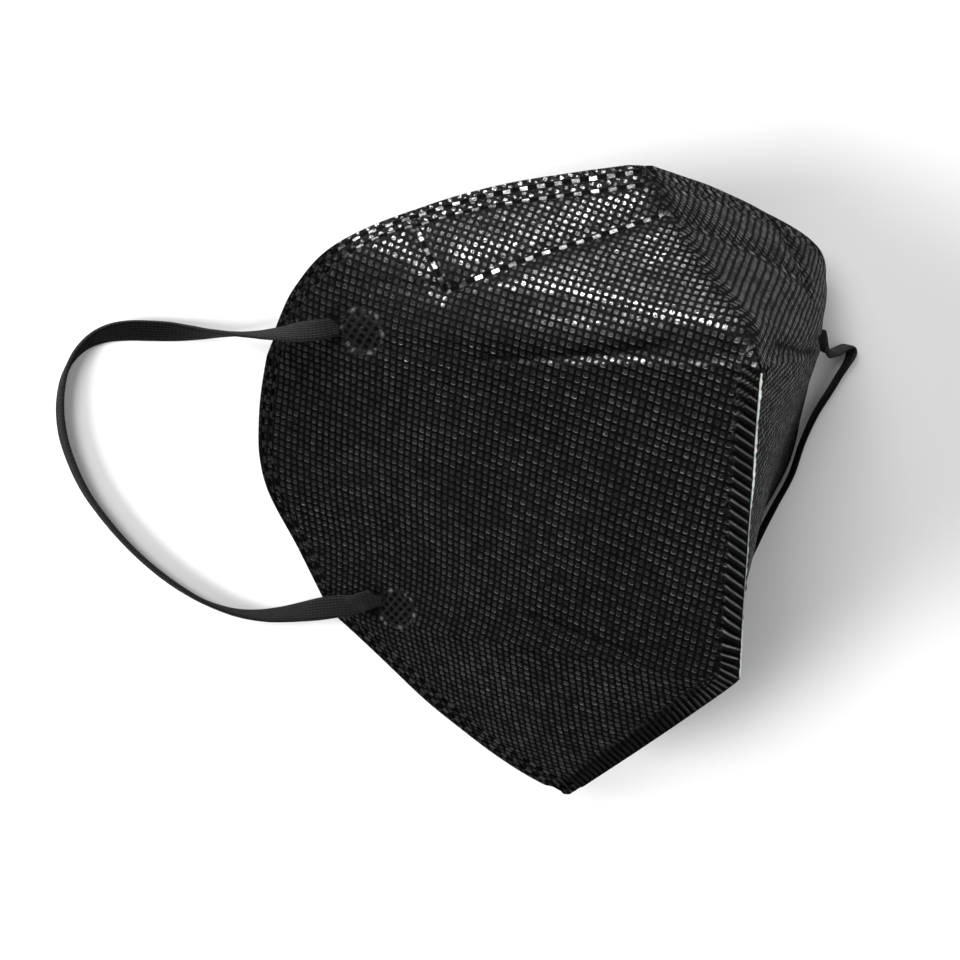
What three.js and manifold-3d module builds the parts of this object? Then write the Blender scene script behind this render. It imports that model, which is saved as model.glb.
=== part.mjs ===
// A fold-flat respirator mask with two ear loops, opened out and resting on its rim.
//
// Units are millimetres and +Z is up. The mask lies on the plane z = 0 with the front seam
// uppermost, its nose end towards +Y and its chin end towards -Y. The origin is below the
// middle of the mask body.
//
// The body is a flat blank that is folded in half over the nose, welded along the front and
// under the chin, and then opened out. Places on a half are given on that flat blank: "back"
// is the distance behind the line of the front seam and "up" the distance above its lower
// end. Each row of SECTIONS bends one level of the blank into its opened shape.

import * as THREE from 'three';
import { mergeVertices } from 'three/addons/utils/BufferGeometryUtils.js';
import Module from 'manifold-3d';

const wasm = await Module();
wasm.setup();

// The flat blank
const SEAM_LENGTH = 59;
const NOSE_BACK = 29;
const NOSE_UP = 106;
const CHIN_BACK = 50.5;
const CHIN_DOWN = 48;
const END_TRIM = 0.6;

// The opened body
const SEAM_HEIGHT = 84.5;
const WALL = 1.2;
const RIGHT_EXTRA = 4.3;
const RIGHT_TUCK = 2.4;
const TUCK_UP = 62;
const TUCK_SPREAD = 9;
const SEAM_TOP_SIDE = 1.4;
const SEAM_FOOT_SIDE = -0.3;
const NOSE_SIDE = -4.3;
const CHIN_SIDE = -5.3;
const BODY_MIDDLE_Y = 27.1;
const FOLD_SOFTNESS = 2.5;
const BEND_STEPS = 24;

// The welded fin along the front and the chin
const FIN_WIDTH = 3.8;
const FIN_TOP_TAPER = 14;
const FOLD_START = 8;
const FIN_END_TAPER = 10;
const FIN_ROOT = 1.1;
const FIN_SINK = 0.25;
const FIN_THICKNESS = 1.1;
const FIN_ROWS = 44;

// The white filter layer that shows at the cut edge of the fin
const FILTER_THICKNESS = 0.6;
const FILTER_DEPTH = 0.7;
const FILTER_FROM = 1.5;
const FILTER_TO = 57.5;
const GAP = 0.3;

// Mesh density of the body
const ROWS = 40;
const COLUMNS = 17;

// The ear loops
const STRAP_WIDTH = 5;
const STRAP_THICKNESS = 1;
const STRAP_CORNER = 0.3;
const STRAP_STEPS = 72;

// One row for each level of the blank, from the chin to the nose:
// rim: how far back the rim is; y and drop: where the front edge lies, and how far it is
// below the seam; front, middle, rear: how far the wall opens from upright, in degrees, from
// the front edge to the rim; drift: how much further towards the nose the rim lies.
const SECTIONS = [
  { up: -48, rim: 50.5, y: -39.5, drop: 56.5, front: 40, middle: 38, rear: 36, drift: 0.0 },
  { up: -40, rim: 61.5, y: -33.2, drop: 47.0, front: 41, middle: 34, rear: 27, drift: -0.7 },
  { up: -24, rim: 77.3, y: -20.6, drop: 28.2, front: 42, middle: 31, rear: 20, drift: -1.5 },
  { up: -12, rim: 88.6, y: -10.9, drop: 14.0, front: 38, middle: 30, rear: 20, drift: -1.3 },
  { up: 0, rim: 98.3, y: -1.0, drop: 0.0, front: 36, middle: 30, rear: 24, drift: -0.8 },
  { up: 15, rim: 104.4, y: 13.1, drop: 0.0, front: 46, middle: 29, rear: 36, drift: -1.4 },
  { up: 30, rim: 107.5, y: 28.5, drop: 0.0, front: 49, middle: 33, rear: 41, drift: -2.8 },
  { up: 45, rim: 107.2, y: 43.7, drop: 0.0, front: 50, middle: 37, rear: 36, drift: -3.3 },
  { up: 59, rim: 104.2, y: 58.4, drop: 0.0, front: 49, middle: 42, rear: 28, drift: -4.6 },
  { up: 66, rim: 100.2, y: 64.8, drop: 5.7, front: 50, middle: 46, rear: 27, drift: -4.4 },
  { up: 74, rim: 94.2, y: 70.6, drop: 12.4, front: 51, middle: 50, rear: 36, drift: -2.1 },
  { up: 82, rim: 85.2, y: 75.8, drop: 18.9, front: 50, middle: 53, rear: 49, drift: 1.4 },
  { up: 90, rim: 72.1, y: 81.1, drop: 24.8, front: 49, middle: 52, rear: 52, drift: 2.9 },
  { up: 98, rim: 55.6, y: 87.3, drop: 30.3, front: 47, middle: 50, rear: 51, drift: 2.3 },
  { up: 106, rim: 29.5, y: 94.9, drop: 36.1, front: 47, middle: 47, rear: 47, drift: 0.0 },
];

// The routes of the ear loops, from the upper weld to the lower one: x, y and z of the middle
// of the strap, and tilt: how far its width leans over from upright, in degrees.
const LEFT_ROUTE = [
  { x: -58.8, y: 33.7, z: 23.6, tilt: -73 },
  { x: -60.6, y: 33.2, z: 21.4, tilt: -71 },
  { x: -62.7, y: 32.7, z: 19.2, tilt: -58 },
  { x: -64.9, y: 32.2, z: 16.7, tilt: -36 },
  { x: -67.3, y: 31.8, z: 14.1, tilt: -16 },
  { x: -69.8, y: 31.4, z: 11.2, tilt: -4 },
  { x: -72.6, y: 31.2, z: 8.4, tilt: 4 },
  { x: -75.7, y: 31.1, z: 5.9, tilt: 14 },
  { x: -79.1, y: 31.0, z: 4.0, tilt: 28 },
  { x: -82.7, y: 31.1, z: 2.8, tilt: 42 },
  { x: -85.9, y: 31.3, z: 2.2, tilt: 52 },
  { x: -89.8, y: 31.5, z: 2.0, tilt: 56 },
  { x: -93.9, y: 31.6, z: 2.0, tilt: 56 },
  { x: -98.0, y: 31.2, z: 2.2, tilt: 50 },
  { x: -101.8, y: 29.8, z: 2.5, tilt: 38 },
  { x: -104.9, y: 27.1, z: 2.7, tilt: 25 },
  { x: -107.1, y: 23.0, z: 2.7, tilt: 12 },
  { x: -108.0, y: 17.1, z: 2.7, tilt: 4 },
  { x: -107.4, y: 11.0, z: 2.7, tilt: 0 },
  { x: -105.5, y: 5.1, z: 2.7, tilt: 0 },
  { x: -102.9, y: -0.3, z: 2.7, tilt: 0 },
  { x: -99.5, y: -5.3, z: 2.7, tilt: 0 },
  { x: -95.1, y: -10.7, z: 2.7, tilt: 0 },
  { x: -89.9, y: -15.9, z: 2.7, tilt: -2 },
  { x: -84.0, y: -20.7, z: 2.7, tilt: -4 },
  { x: -77.8, y: -24.6, z: 2.7, tilt: -2 },
  { x: -71.3, y: -27.2, z: 2.7, tilt: 4 },
  { x: -65.3, y: -28.3, z: 2.7, tilt: 14 },
  { x: -60.1, y: -28.3, z: 2.9, tilt: 25 },
  { x: -56.1, y: -27.8, z: 3.7, tilt: 38 },
  { x: -52.9, y: -27.1, z: 5.3, tilt: 55 },
  { x: -50.3, y: -26.4, z: 7.4, tilt: 72 },
  { x: -48.0, y: -25.8, z: 9.5, tilt: 82 },
  { x: -46.5, y: -24.7, z: 11.9, tilt: 78 },
  { x: -45.0, y: -23.7, z: 14.9, tilt: 75 },
];
const RIGHT_ROUTE = [
  { x: 57.4, y: 30.0, z: 23.7, tilt: 71 },
  { x: 59.6, y: 29.3, z: 20.3, tilt: 65 },
  { x: 61.7, y: 28.5, z: 16.9, tilt: 60 },
  { x: 64.6, y: 27.4, z: 13.4, tilt: 52 },
  { x: 66.5, y: 26.2, z: 10.4, tilt: 38 },
  { x: 68.2, y: 25.4, z: 7.9, tilt: 24 },
  { x: 70.3, y: 24.8, z: 6.0, tilt: 12 },
  { x: 72.4, y: 24.5, z: 4.5, tilt: 4 },
  { x: 74.5, y: 24.7, z: 3.5, tilt: 0 },
  { x: 76.1, y: 25.1, z: 3.0, tilt: 0 },
  { x: 77.4, y: 25.5, z: 2.8, tilt: 0 },
  { x: 78.5, y: 25.4, z: 2.7, tilt: 3 },
  { x: 79.1, y: 24.4, z: 2.7, tilt: 7 },
  { x: 78.8, y: 22.9, z: 2.7, tilt: 12 },
  { x: 77.7, y: 21.0, z: 2.6, tilt: 18 },
  { x: 75.9, y: 18.5, z: 2.6, tilt: 20 },
  { x: 74.1, y: 15.8, z: 2.6, tilt: 20 },
  { x: 72.1, y: 13.0, z: 2.6, tilt: 20 },
  { x: 70.0, y: 9.9, z: 2.6, tilt: 22 },
  { x: 66.8, y: 3.5, z: 2.7, tilt: 25 },
  { x: 64.1, y: -4.2, z: 2.7, tilt: 25 },
  { x: 59.7, y: -11.7, z: 2.7, tilt: 24 },
  { x: 55.6, y: -19.1, z: 2.7, tilt: 22 },
  { x: 52.6, y: -25.5, z: 2.7, tilt: 20 },
  { x: 52.1, y: -29.6, z: 2.7, tilt: 18 },
  { x: 51.7, y: -33.7, z: 2.7, tilt: 13 },
  { x: 51.4, y: -37.8, z: 2.7, tilt: 7 },
  { x: 50.3, y: -42.0, z: 2.7, tilt: 2 },
  { x: 47.9, y: -46.0, z: 2.7, tilt: 0 },
  { x: 44.2, y: -49.2, z: 2.8, tilt: 0 },
  { x: 39.9, y: -50.4, z: 3.1, tilt: 0 },
  { x: 36.2, y: -48.8, z: 4.2, tilt: -5 },
  { x: 34.6, y: -45.2, z: 6.0, tilt: -11 },
  { x: 35.3, y: -41.2, z: 7.8, tilt: -16 },
  { x: 37.6, y: -37.7, z: 9.3, tilt: -20 },
  { x: 40.6, y: -34.3, z: 10.6, tilt: -28 },
  { x: 43.9, y: -31.2, z: 12.2, tilt: -38 },
  { x: 45.7, y: -27.8, z: 13.4, tilt: -50 },
  { x: 44.3, y: -26.3, z: 15.9, tilt: -61 },
];

// ---------- the bent blank ----------

function smoothStep(amount) {
  const t = Math.min(Math.max(amount, 0), 1);
  return t * t * (3 - 2 * t);
}

function degrees(angle) {
  return THREE.MathUtils.degToRad(angle);
}

function rowBelow(up) {
  let row = 0;
  while (row < SECTIONS.length - 2 && SECTIONS[row + 1].up <= up) {
    row += 1;
  }
  return row;
}

function slopeAt(row, name) {
  const before = SECTIONS[Math.max(row - 1, 0)];
  const here = SECTIONS[row];
  const after = SECTIONS[Math.min(row + 1, SECTIONS.length - 1)];
  const below = here.up - before.up;
  const above = after.up - here.up;
  if (below === 0) {
    return (after[name] - here[name]) / above;
  }
  if (above === 0) {
    return (here[name] - before[name]) / below;
  }
  const slopeBelow = (here[name] - before[name]) / below;
  const slopeAbove = (after[name] - here[name]) / above;
  return (slopeBelow * above + slopeAbove * below) / (above + below);
}

// A column of SECTIONS at any level, as a smooth curve through its rows
function smoothColumn(name, up) {
  const row = rowBelow(up);
  const low = SECTIONS[row];
  const high = SECTIONS[row + 1];
  const span = high.up - low.up;
  const t = (up - low.up) / span;
  const t2 = t * t;
  const t3 = t2 * t;
  const lowPart = (2 * t3 - 3 * t2 + 1) * low[name] + (t3 - 2 * t2 + t) * span * slopeAt(row, name);
  const highPart = (3 * t2 - 2 * t3) * high[name] + (t3 - t2) * span * slopeAt(row + 1, name);
  return lowPart + highPart;
}

// A column at any level, as straight lines between its rows
function straightColumn(name, up) {
  const row = rowBelow(up);
  const low = SECTIONS[row];
  const high = SECTIONS[row + 1];
  return THREE.MathUtils.mapLinear(up, low.up, high.up, low[name], high[name]);
}

function cutEdge(up) {
  if (up < 0) {
    return (-up * CHIN_BACK) / CHIN_DOWN;
  }
  return Math.max(((up - SEAM_LENGTH) * NOSE_BACK) / (NOSE_UP - SEAM_LENGTH), 0);
}

// 1 along the welded seam, fading to 0 where the fin ends and the fold over the nose begins
function seamShare(up) {
  return smoothStep((SEAM_LENGTH - up) / FIN_TOP_TAPER);
}

function finWidth(up) {
  const end = THREE.MathUtils.clamp((up + CHIN_DOWN) / FIN_END_TAPER, 0, 1);
  return FIN_WIDTH * seamShare(up) * end;
}

function edgeSide(up) {
  if (up < 0) {
    return THREE.MathUtils.lerp(SEAM_FOOT_SIDE, CHIN_SIDE, -up / CHIN_DOWN);
  }
  if (up < SEAM_LENGTH) {
    return THREE.MathUtils.lerp(SEAM_FOOT_SIDE, SEAM_TOP_SIDE, up / SEAM_LENGTH);
  }
  const rise = (up - SEAM_LENGTH) / (NOSE_UP - SEAM_LENGTH);
  return THREE.MathUtils.lerp(SEAM_TOP_SIDE, NOSE_SIDE, rise);
}

// Everything about one level of one half: side is -1 for the left half and 1 for the right
function makeLevel(up, side) {
  const edge = cutEdge(up);
  const fin = finWidth(up);
  const start = side < 0 ? edge : edge + fin;
  const reach = smoothColumn('rim', up) - edge;
  const tuck = RIGHT_TUCK * Math.exp(-(((up - TUCK_UP) / TUCK_SPREAD) ** 2));
  const extra = side > 0 ? RIGHT_EXTRA * seamShare(up) - tuck : 0;
  const front = smoothColumn('front', up);
  const middle = smoothColumn('middle', up);
  const rear = smoothColumn('rear', up);
  const softness = FOLD_SOFTNESS * smoothStep((up - SEAM_LENGTH) / FOLD_START);

  function leftOpening(share) {
    const first = front * (2 * share - 1) * (share - 1);
    return first + middle * 4 * share * (1 - share) + rear * share * (2 * share - 1);
  }
  function opening(share) {
    const plain = leftOpening(share) + extra;
    if (softness === 0) {
      return degrees(plain);
    }
    const nearFold = Math.exp(-(((share * reach) / softness) ** 2));
    return degrees(plain + (90 - plain) * nearFold);
  }

  let leftDrop = 0;
  let ownDrop = 0;
  for (let step = 0; step < BEND_STEPS; step += 1) {
    const share = (step + 0.5) / BEND_STEPS;
    leftDrop += (Math.cos(degrees(leftOpening(share))) * reach) / BEND_STEPS;
    ownDrop += (Math.cos(opening(share)) * reach) / BEND_STEPS;
  }
  const edgeHeight = SEAM_HEIGHT - straightColumn('drop', up);
  const rimHeight = Math.max(edgeHeight - leftDrop, 0);
  const fall = (edgeHeight - rimHeight) / ownDrop;

  let startX = edgeSide(up);
  let startZ = edgeHeight;
  if (side > 0) {
    startX -= fin * Math.sin(degrees(front));
    startZ -= fin * Math.cos(degrees(front)) * fall;
  }
  const y = smoothColumn('y', up) - BODY_MIDDLE_Y;
  const drift = smoothColumn('drift', up);
  return { side, edge, start, reach, opening, fall, startX, startZ, y, drift };
}

// The point of a half's outer face at a distance behind the line of the seam
function pointOnLevel(level, back) {
  const run = back - level.start;
  const startShare = (level.start - level.edge) / level.reach;
  let sideways = 0;
  let down = 0;
  for (let step = 0; step < BEND_STEPS; step += 1) {
    const share = Math.max(startShare + ((run / level.reach) * (step + 0.5)) / BEND_STEPS, 0);
    const angle = level.opening(share);
    sideways += (Math.sin(angle) * run) / BEND_STEPS;
    down += (Math.cos(angle) * run) / BEND_STEPS;
  }
  const x = level.startX + level.side * sideways;
  const y = level.y + (level.drift * (back - level.edge)) / level.reach;
  return new THREE.Vector3(x, y, Math.max(level.startZ - down * level.fall, 0));
}

// ---------- meshes ----------

function emptyMesh() {
  return { points: [], triangles: [] };
}

function addQuad(mesh, a, b, c, d) {
  mesh.triangles.push(a, b, c, a, c, d);
}

function toGeometry(mesh) {
  const geometry = new THREE.BufferGeometry();
  const numbers = mesh.points.flatMap((point) => point.toArray());
  geometry.setAttribute('position', new THREE.Float32BufferAttribute(numbers, 3));
  geometry.setIndex(mesh.triangles);
  return geometry;
}

function facesAround(grid) {
  const normals = grid.map((row) => row.map(() => []));
  for (let r = 0; r < grid.length - 1; r += 1) {
    for (let c = 0; c < grid[r].length - 1; c += 1) {
      const corners = [[r, c], [r, c + 1], [r + 1, c + 1], [r + 1, c]];
      const diagonal = grid[r + 1][c + 1].clone().sub(grid[r][c]);
      const other = grid[r + 1][c].clone().sub(grid[r][c + 1]);
      const normal = diagonal.cross(other).normalize();
      corners.forEach(([row, column]) => normals[row][column].push(normal));
    }
  }
  return normals;
}

// The inner face of a wall: every point of the outer face moved in by the thickness
function offsetGrid(grid, thickness) {
  const normals = facesAround(grid);
  return grid.map((row, r) => row.map((point, c) => {
    const around = normals[r][c];
    const mean = new THREE.Vector3();
    around.forEach((normal) => mean.add(normal));
    mean.normalize();
    const facing = around.reduce((sum, normal) => sum + normal.dot(mean), 0) / around.length;
    const moved = point.clone().addScaledVector(mean, -thickness / Math.max(facing, 0.5));
    moved.z = Math.max(moved.z, 0);
    return moved;
  }));
}

// A closed wall between an outer and an inner grid of points
function thickSheet(outer, inner) {
  const mesh = emptyMesh();
  const rows = outer.length;
  const columns = outer[0].length;
  [outer, inner].forEach((grid) => grid.forEach((row) => mesh.points.push(...row)));
  const out = (r, c) => r * columns + c;
  const inn = (r, c) => rows * columns + r * columns + c;
  for (let r = 0; r < rows - 1; r += 1) {
    for (let c = 0; c < columns - 1; c += 1) {
      addQuad(mesh, out(r, c), out(r, c + 1), out(r + 1, c + 1), out(r + 1, c));
      addQuad(mesh, inn(r, c), inn(r + 1, c), inn(r + 1, c + 1), inn(r, c + 1));
    }
  }
  for (let c = 0; c < columns - 1; c += 1) {
    addQuad(mesh, out(0, c), inn(0, c), inn(0, c + 1), out(0, c + 1));
    addQuad(mesh, out(rows - 1, c), out(rows - 1, c + 1), inn(rows - 1, c + 1), inn(rows - 1, c));
  }
  for (let r = 0; r < rows - 1; r += 1) {
    addQuad(mesh, out(r, 0), out(r + 1, 0), inn(r + 1, 0), inn(r, 0));
    addQuad(mesh, out(r, columns - 1), inn(r, columns - 1), inn(r + 1, columns - 1), out(r + 1, columns - 1));
  }
  return toGeometry(mesh);
}

function toSolid(geometry) {
  const bare = geometry.clone();
  bare.deleteAttribute('normal');
  bare.deleteAttribute('uv');
  const merged = mergeVertices(bare);
  const vertProperties = Float32Array.from(merged.attributes.position.array);
  const triVerts = Uint32Array.from(merged.index.array);
  return new wasm.Manifold(new wasm.Mesh({ numProp: 3, vertProperties, triVerts }));
}

function fromSolid(solid) {
  const result = solid.getMesh();
  const geometry = new THREE.BufferGeometry();
  geometry.setAttribute('position', new THREE.Float32BufferAttribute(result.vertProperties, 3));
  geometry.setIndex(Array.from(result.triVerts));
  return geometry;
}

// ---------- the mask body ----------

function bodyRow(up) {
  const left = makeLevel(up, -1);
  const right = makeLevel(up, 1);
  const rim = left.edge + left.reach;
  const row = [];
  for (let c = 0; c < COLUMNS; c += 1) {
    row.push(pointOnLevel(left, THREE.MathUtils.lerp(rim, right.start, c / COLUMNS)));
  }
  for (let c = 0; c <= COLUMNS; c += 1) {
    row.push(pointOnLevel(right, THREE.MathUtils.lerp(right.start, rim, c / COLUMNS)));
  }
  return row;
}

function makeBodyWall() {
  const rows = [];
  for (let r = 0; r <= ROWS; r += 1) {
    rows.push(bodyRow(THREE.MathUtils.lerp(END_TRIM - CHIN_DOWN, NOSE_UP - END_TRIM, r / ROWS)));
  }
  return thickSheet(rows, offsetGrid(rows, WALL));
}

// The fin runs on in the line of the left half, from just inside the wall to the cut edge
function makeFin() {
  const outer = [];
  for (let r = 0; r <= FIN_ROWS; r += 1) {
    const up = THREE.MathUtils.lerp(3 - CHIN_DOWN, SEAM_LENGTH - 2, r / FIN_ROWS);
    const level = makeLevel(up, -1);
    const root = level.edge + finWidth(up) + FIN_ROOT;
    outer.push([pointOnLevel(level, root), pointOnLevel(level, level.edge)]);
  }
  const sunk = offsetGrid(outer, FIN_SINK);
  return thickSheet(sunk, offsetGrid(outer, FIN_SINK + FIN_THICKNESS));
}

function makeBody() {
  return fromSolid(toSolid(makeBodyWall()).add(toSolid(makeFin())));
}

// ---------- the filter layer at the cut edge ----------

function makeFilterEdge() {
  const outer = [];
  for (let r = 0; r <= 8; r += 1) {
    const up = THREE.MathUtils.lerp(FILTER_FROM, FILTER_TO, r / 8);
    const level = makeLevel(up, -1);
    const near = pointOnLevel(level, level.edge - GAP);
    const far = pointOnLevel(level, level.edge - GAP - FILTER_DEPTH);
    outer.push([near, far]);
  }
  const skin = (FIN_THICKNESS - FILTER_THICKNESS) / 2 + FIN_SINK;
  return thickSheet(offsetGrid(outer, skin), offsetGrid(outer, skin + FILTER_THICKNESS));
}

// ---------- the ear loops ----------

// The line of a strap, which also says which way its width faces all along it
class StrapLine extends THREE.CatmullRomCurve3 {
  constructor(route) {
    super(route.map((stop) => new THREE.Vector3(stop.x, stop.y, stop.z)));
    this.tilts = route.map((stop) => stop.tilt);
  }

  tiltAt(share) {
    const place = this.getUtoTmapping(share) * (this.tilts.length - 1);
    const before = Math.min(Math.floor(place), this.tilts.length - 2);
    return THREE.MathUtils.lerp(this.tilts[before], this.tilts[before + 1], place - before);
  }

  computeFrenetFrames(segments) {
    const frames = { tangents: [], normals: [], binormals: [] };
    for (let i = 0; i <= segments; i += 1) {
      const along = this.getTangentAt(i / segments);
      const sideways = along.clone().cross(new THREE.Vector3(0, 0, 1)).normalize();
      const upright = sideways.clone().cross(along);
      const tilt = degrees(this.tiltAt(i / segments));
      const width = upright.multiplyScalar(Math.cos(tilt)).addScaledVector(sideways, Math.sin(tilt));
      frames.tangents.push(along);
      frames.normals.push(width);
      frames.binormals.push(along.clone().cross(width));
    }
    return frames;
  }
}

function strapSection() {
  const w = STRAP_WIDTH / 2;
  const t = STRAP_THICKNESS / 2;
  const c = STRAP_CORNER;
  const corners = [[w, t - c], [w - c, t], [c - w, t], [-w, t - c]];
  const lower = corners.map(([x, y]) => [-x, -y]);
  return new THREE.Shape([...corners, ...lower].map(([x, y]) => new THREE.Vector2(x, y)));
}

function makeEarLoop(route) {
  const extrudePath = new StrapLine(route);
  return new THREE.ExtrudeGeometry(strapSection(), { steps: STRAP_STEPS, extrudePath });
}

// ---------- assembly ----------

function fabric(color, roughness) {
  return new THREE.MeshStandardMaterial({ color, roughness, metalness: 0 });
}

function addPiece(group, name, geometry, material) {
  const mesh = new THREE.Mesh(geometry, material);
  mesh.name = name;
  group.add(mesh);
}

const mask = new THREE.Group();
addPiece(mask, 'mask_shell', makeBody(), fabric(0x141416, 0.75));
addPiece(mask, 'seam_filter_edge', makeFilterEdge(), fabric(0xf2f2ee, 0.85));
addPiece(mask, 'left_ear_loop', makeEarLoop(LEFT_ROUTE), fabric(0x1b1b1d, 0.9));
addPiece(mask, 'right_ear_loop', makeEarLoop(RIGHT_ROUTE), fabric(0x1b1b1d, 0.9));

export default mask;
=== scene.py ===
"""A black fold-flat respirator mask with two ear loops, opened out and lying on its rim.

The body is worked out on its flat blank, the outline that one half is cut to. "back" is the
distance behind the line of the front seam and "up" the distance above its lower end. Both are
in millimetres, like every other length here that isn't said to be in metres.
"""

import functools
import math

import bpy
import numpy as np
from mathutils import Matrix


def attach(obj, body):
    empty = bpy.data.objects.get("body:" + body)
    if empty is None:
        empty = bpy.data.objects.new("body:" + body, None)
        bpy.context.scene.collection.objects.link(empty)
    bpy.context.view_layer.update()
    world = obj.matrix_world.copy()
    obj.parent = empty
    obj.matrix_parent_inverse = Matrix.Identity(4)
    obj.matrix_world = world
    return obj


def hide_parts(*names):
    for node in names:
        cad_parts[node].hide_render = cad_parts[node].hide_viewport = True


bl_info = {
    "name": "Fold-Flat Mask",
    "version": (1, 0, 0),
    "blender": (4, 5, 0),
    "location": "View3D > Sidebar > Mask",
    "description": "Builds a fold-flat respirator mask around its loaded frame",
    "category": "Add Mesh",
}

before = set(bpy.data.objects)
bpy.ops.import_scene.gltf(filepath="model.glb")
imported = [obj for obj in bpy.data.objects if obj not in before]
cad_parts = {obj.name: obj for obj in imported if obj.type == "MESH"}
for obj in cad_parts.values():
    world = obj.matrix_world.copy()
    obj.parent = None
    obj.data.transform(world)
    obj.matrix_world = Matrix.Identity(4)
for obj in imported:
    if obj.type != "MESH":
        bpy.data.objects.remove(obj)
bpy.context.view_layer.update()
MM = 0.001

# ------------------------------ The flat blank ------------------------------

SEAM_LENGTH = 59.0
NOSE_BACK = 29.0
NOSE_UP = 106.0
CHIN_BACK = 50.5
CHIN_DOWN = 48.0
END_TRIM = 0.6
SEAM_CORNER = math.hypot(CHIN_BACK, CHIN_DOWN)

# The welded fin of the front seam, and how its root runs in under the covers
FIN_WIDTH = 3.8
FIN_TOP_TAPER = 14.0
FIN_END_TAPER = 10.0
FIN_THICKNESS = 1.1
FIN_TOP_GAP = 0.5
FIN_ROOT_RUN = 0.7
FIN_ROOT_SINK = 0.3

# The bonds of the fabric stand on a slanting grid with these two steps. Their outline is between
# round and square: 2 is round, and a higher number is squarer.
BOND_STEP_A = (-1.43, -0.45)
BOND_STEP_B = (0.235, -1.48)
BOND_SQUARENESS = 3.4
OUTER_BOND_SIZE = 0.29
INNER_BOND_SIZE = 0.30

# Weld lines, creases and a soft ridge as (back, up) corners. Distances across them are negative
# on the nose side of the creases and the ridge.
POCKET_WELD = [(61.8, 73.8), (53.5, 77.7), (45.9, 81.6), (38.2, 86.0), (30.7, 90.7), (21.5, 96.7)]
POCKET_END_WELD = [(68.6, 84.6), (64.8, 78.8), (61.8, 73.8)]
UPPER_CREASE = [(60.2, 59.6), (43.4, 60.2), (25.7, 62.0), (13.0, 63.5)]
LOWER_CREASE = [(50.1, 8.9), (38.9, 6.8), (27.8, 4.2), (16.2, 1.6)]
SOFT_RIDGE = [(56.0, 75.3), (38.9, 74.9), (23.0, 71.1), (2.6, 65.4)]

# How deep the pocket's weld is, how it falls off, and how the cloth sags inside the pocket
WELD_DEPTH = 0.75
WELD_FLAT = 0.7
WELD_FADE = 1.7
POCKET_SAG = 0.40
POCKET_SAG_REACH = 5.0

# The creases: their depths, widths on each side, how far they take to begin and to end, and the width
# of the painted shade along them
CREASE_DEPTH = 0.65
LOWER_CREASE_SHARE = 0.8
CREASE_NOSE_WIDTH = 1.1
CREASE_CHIN_WIDTH = 1.9
CREASE_START_RUN = 6.0
CREASE_END_RUN = 10.0
CREASE_SHADE_WIDTH = 0.6

# The ridge: its height, how blunt it is, and its long and short slopes
RIDGE_HEIGHT = 1.15
RIDGE_BLUNTNESS = 1.6
RIDGE_LONG_REACH = 11.0
RIDGE_SHORT_REACH = 2.6
RIDGE_SHORT_SHARE = 0.65

# Two rows of welds along the rim: drawn in towards it along the rear but not at the nose, and
# let out again at the chin. Then their depth and softness, and the pressed band they lie in
RIM_WELD_ROWS = (1.8, 4.7)
RIM_ROWS_DRAWN_IN = 0.62
DRAWN_IN_BELOW = 83.0
DRAWN_IN_OVER = 12.0
RIM_ROWS_LET_OUT = 0.5
LET_OUT_BELOW = 12.0
LET_OUT_OVER = 26.0
ROW_DEPTH = 0.12
ROW_FLAT = 0.6
ROW_FADE = 0.7
RIM_BAND = 6.5
RIM_BAND_FADE = 2.0
RIM_BAND_DEPTH = 0.25
DASH_PITCH = 3.4
DASH_LENGTH = 1.5
DASH_WIDTH = 0.95
RIM_CORNERS = 120

# The ribs of the front seam: they fan out round its corner and slant away from it
RIB_PITCH = 2.0
RIB_SLANT = 30.0
CHIN_RIB_SLANT = 20.0
RIB_FAN = 0.43
RIB_FAN_REACH = 8.0
RIB_DEPTH = 0.38
RIB_ROOT_PLACE = FIN_WIDTH + 0.25
RIB_ROOT_DEPTH = 0.40

# Where the ear loops are welded on, and the crossing ribs of those welds
LOOP_WELDS = [(80.0, 65.0), (80.0, 3.5)]
LOOP_WELD_RADIUS = 4.8
LOOP_WELD_TURNS = (38.0, -52.0)
LOOP_WELD_PITCH = 1.7
LOOP_WELD_DISH = 0.45
LOOP_RIB_HEIGHT = 0.34
LOOP_RIB_SINK = 0.25
STRAP_HOLLOW_PLACE = (5.4, 0.4)
STRAP_HOLLOW_SIZE = (2.6, 3.2)
STRAP_HOLLOW_DEPTH = 0.3

# Slow waves of the cloth, which begin behind the seam
WAVE_HEIGHT = 0.18
FINE_WAVE_HEIGHT = 0.05
WAVES_FROM_SEAM = 12.0

# ----------------------------- The opened shape -----------------------------

SEAM_HEIGHT = 84.5
WALL = 1.2
RIM_TURN_DEPTHS = (0.35, 0.8, WALL)
SEAM_TOP_SIDE = 1.4
SEAM_FOOT_SIDE = -0.3
NOSE_SIDE = -4.3
CHIN_SIDE = -5.3
BODY_MIDDLE_Y = 27.1
FOLD_START = 8.0
FOLD_SOFTNESS = 2.5
BEND_STEPS = 24

# How much further the right half opens, in degrees, and the tuck on its nose side
RIGHT_EXTRA = 4.3
RIGHT_TUCK = 2.4
TUCK_UP = 62.0
TUCK_SPREAD = 9.0

# The white layer in the fin's cut edge: the levels of its ends, half its width and depth, how
# far it stands out, and how much it swells between the ribs
FILTER_ENDS = (1.0, SEAM_LENGTH - 1.2)
FILTER_WIDE = 0.27
FILTER_DEEP = 0.24
FILTER_AHEAD = 0.12
FILTER_BEADS = 0.20
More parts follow.
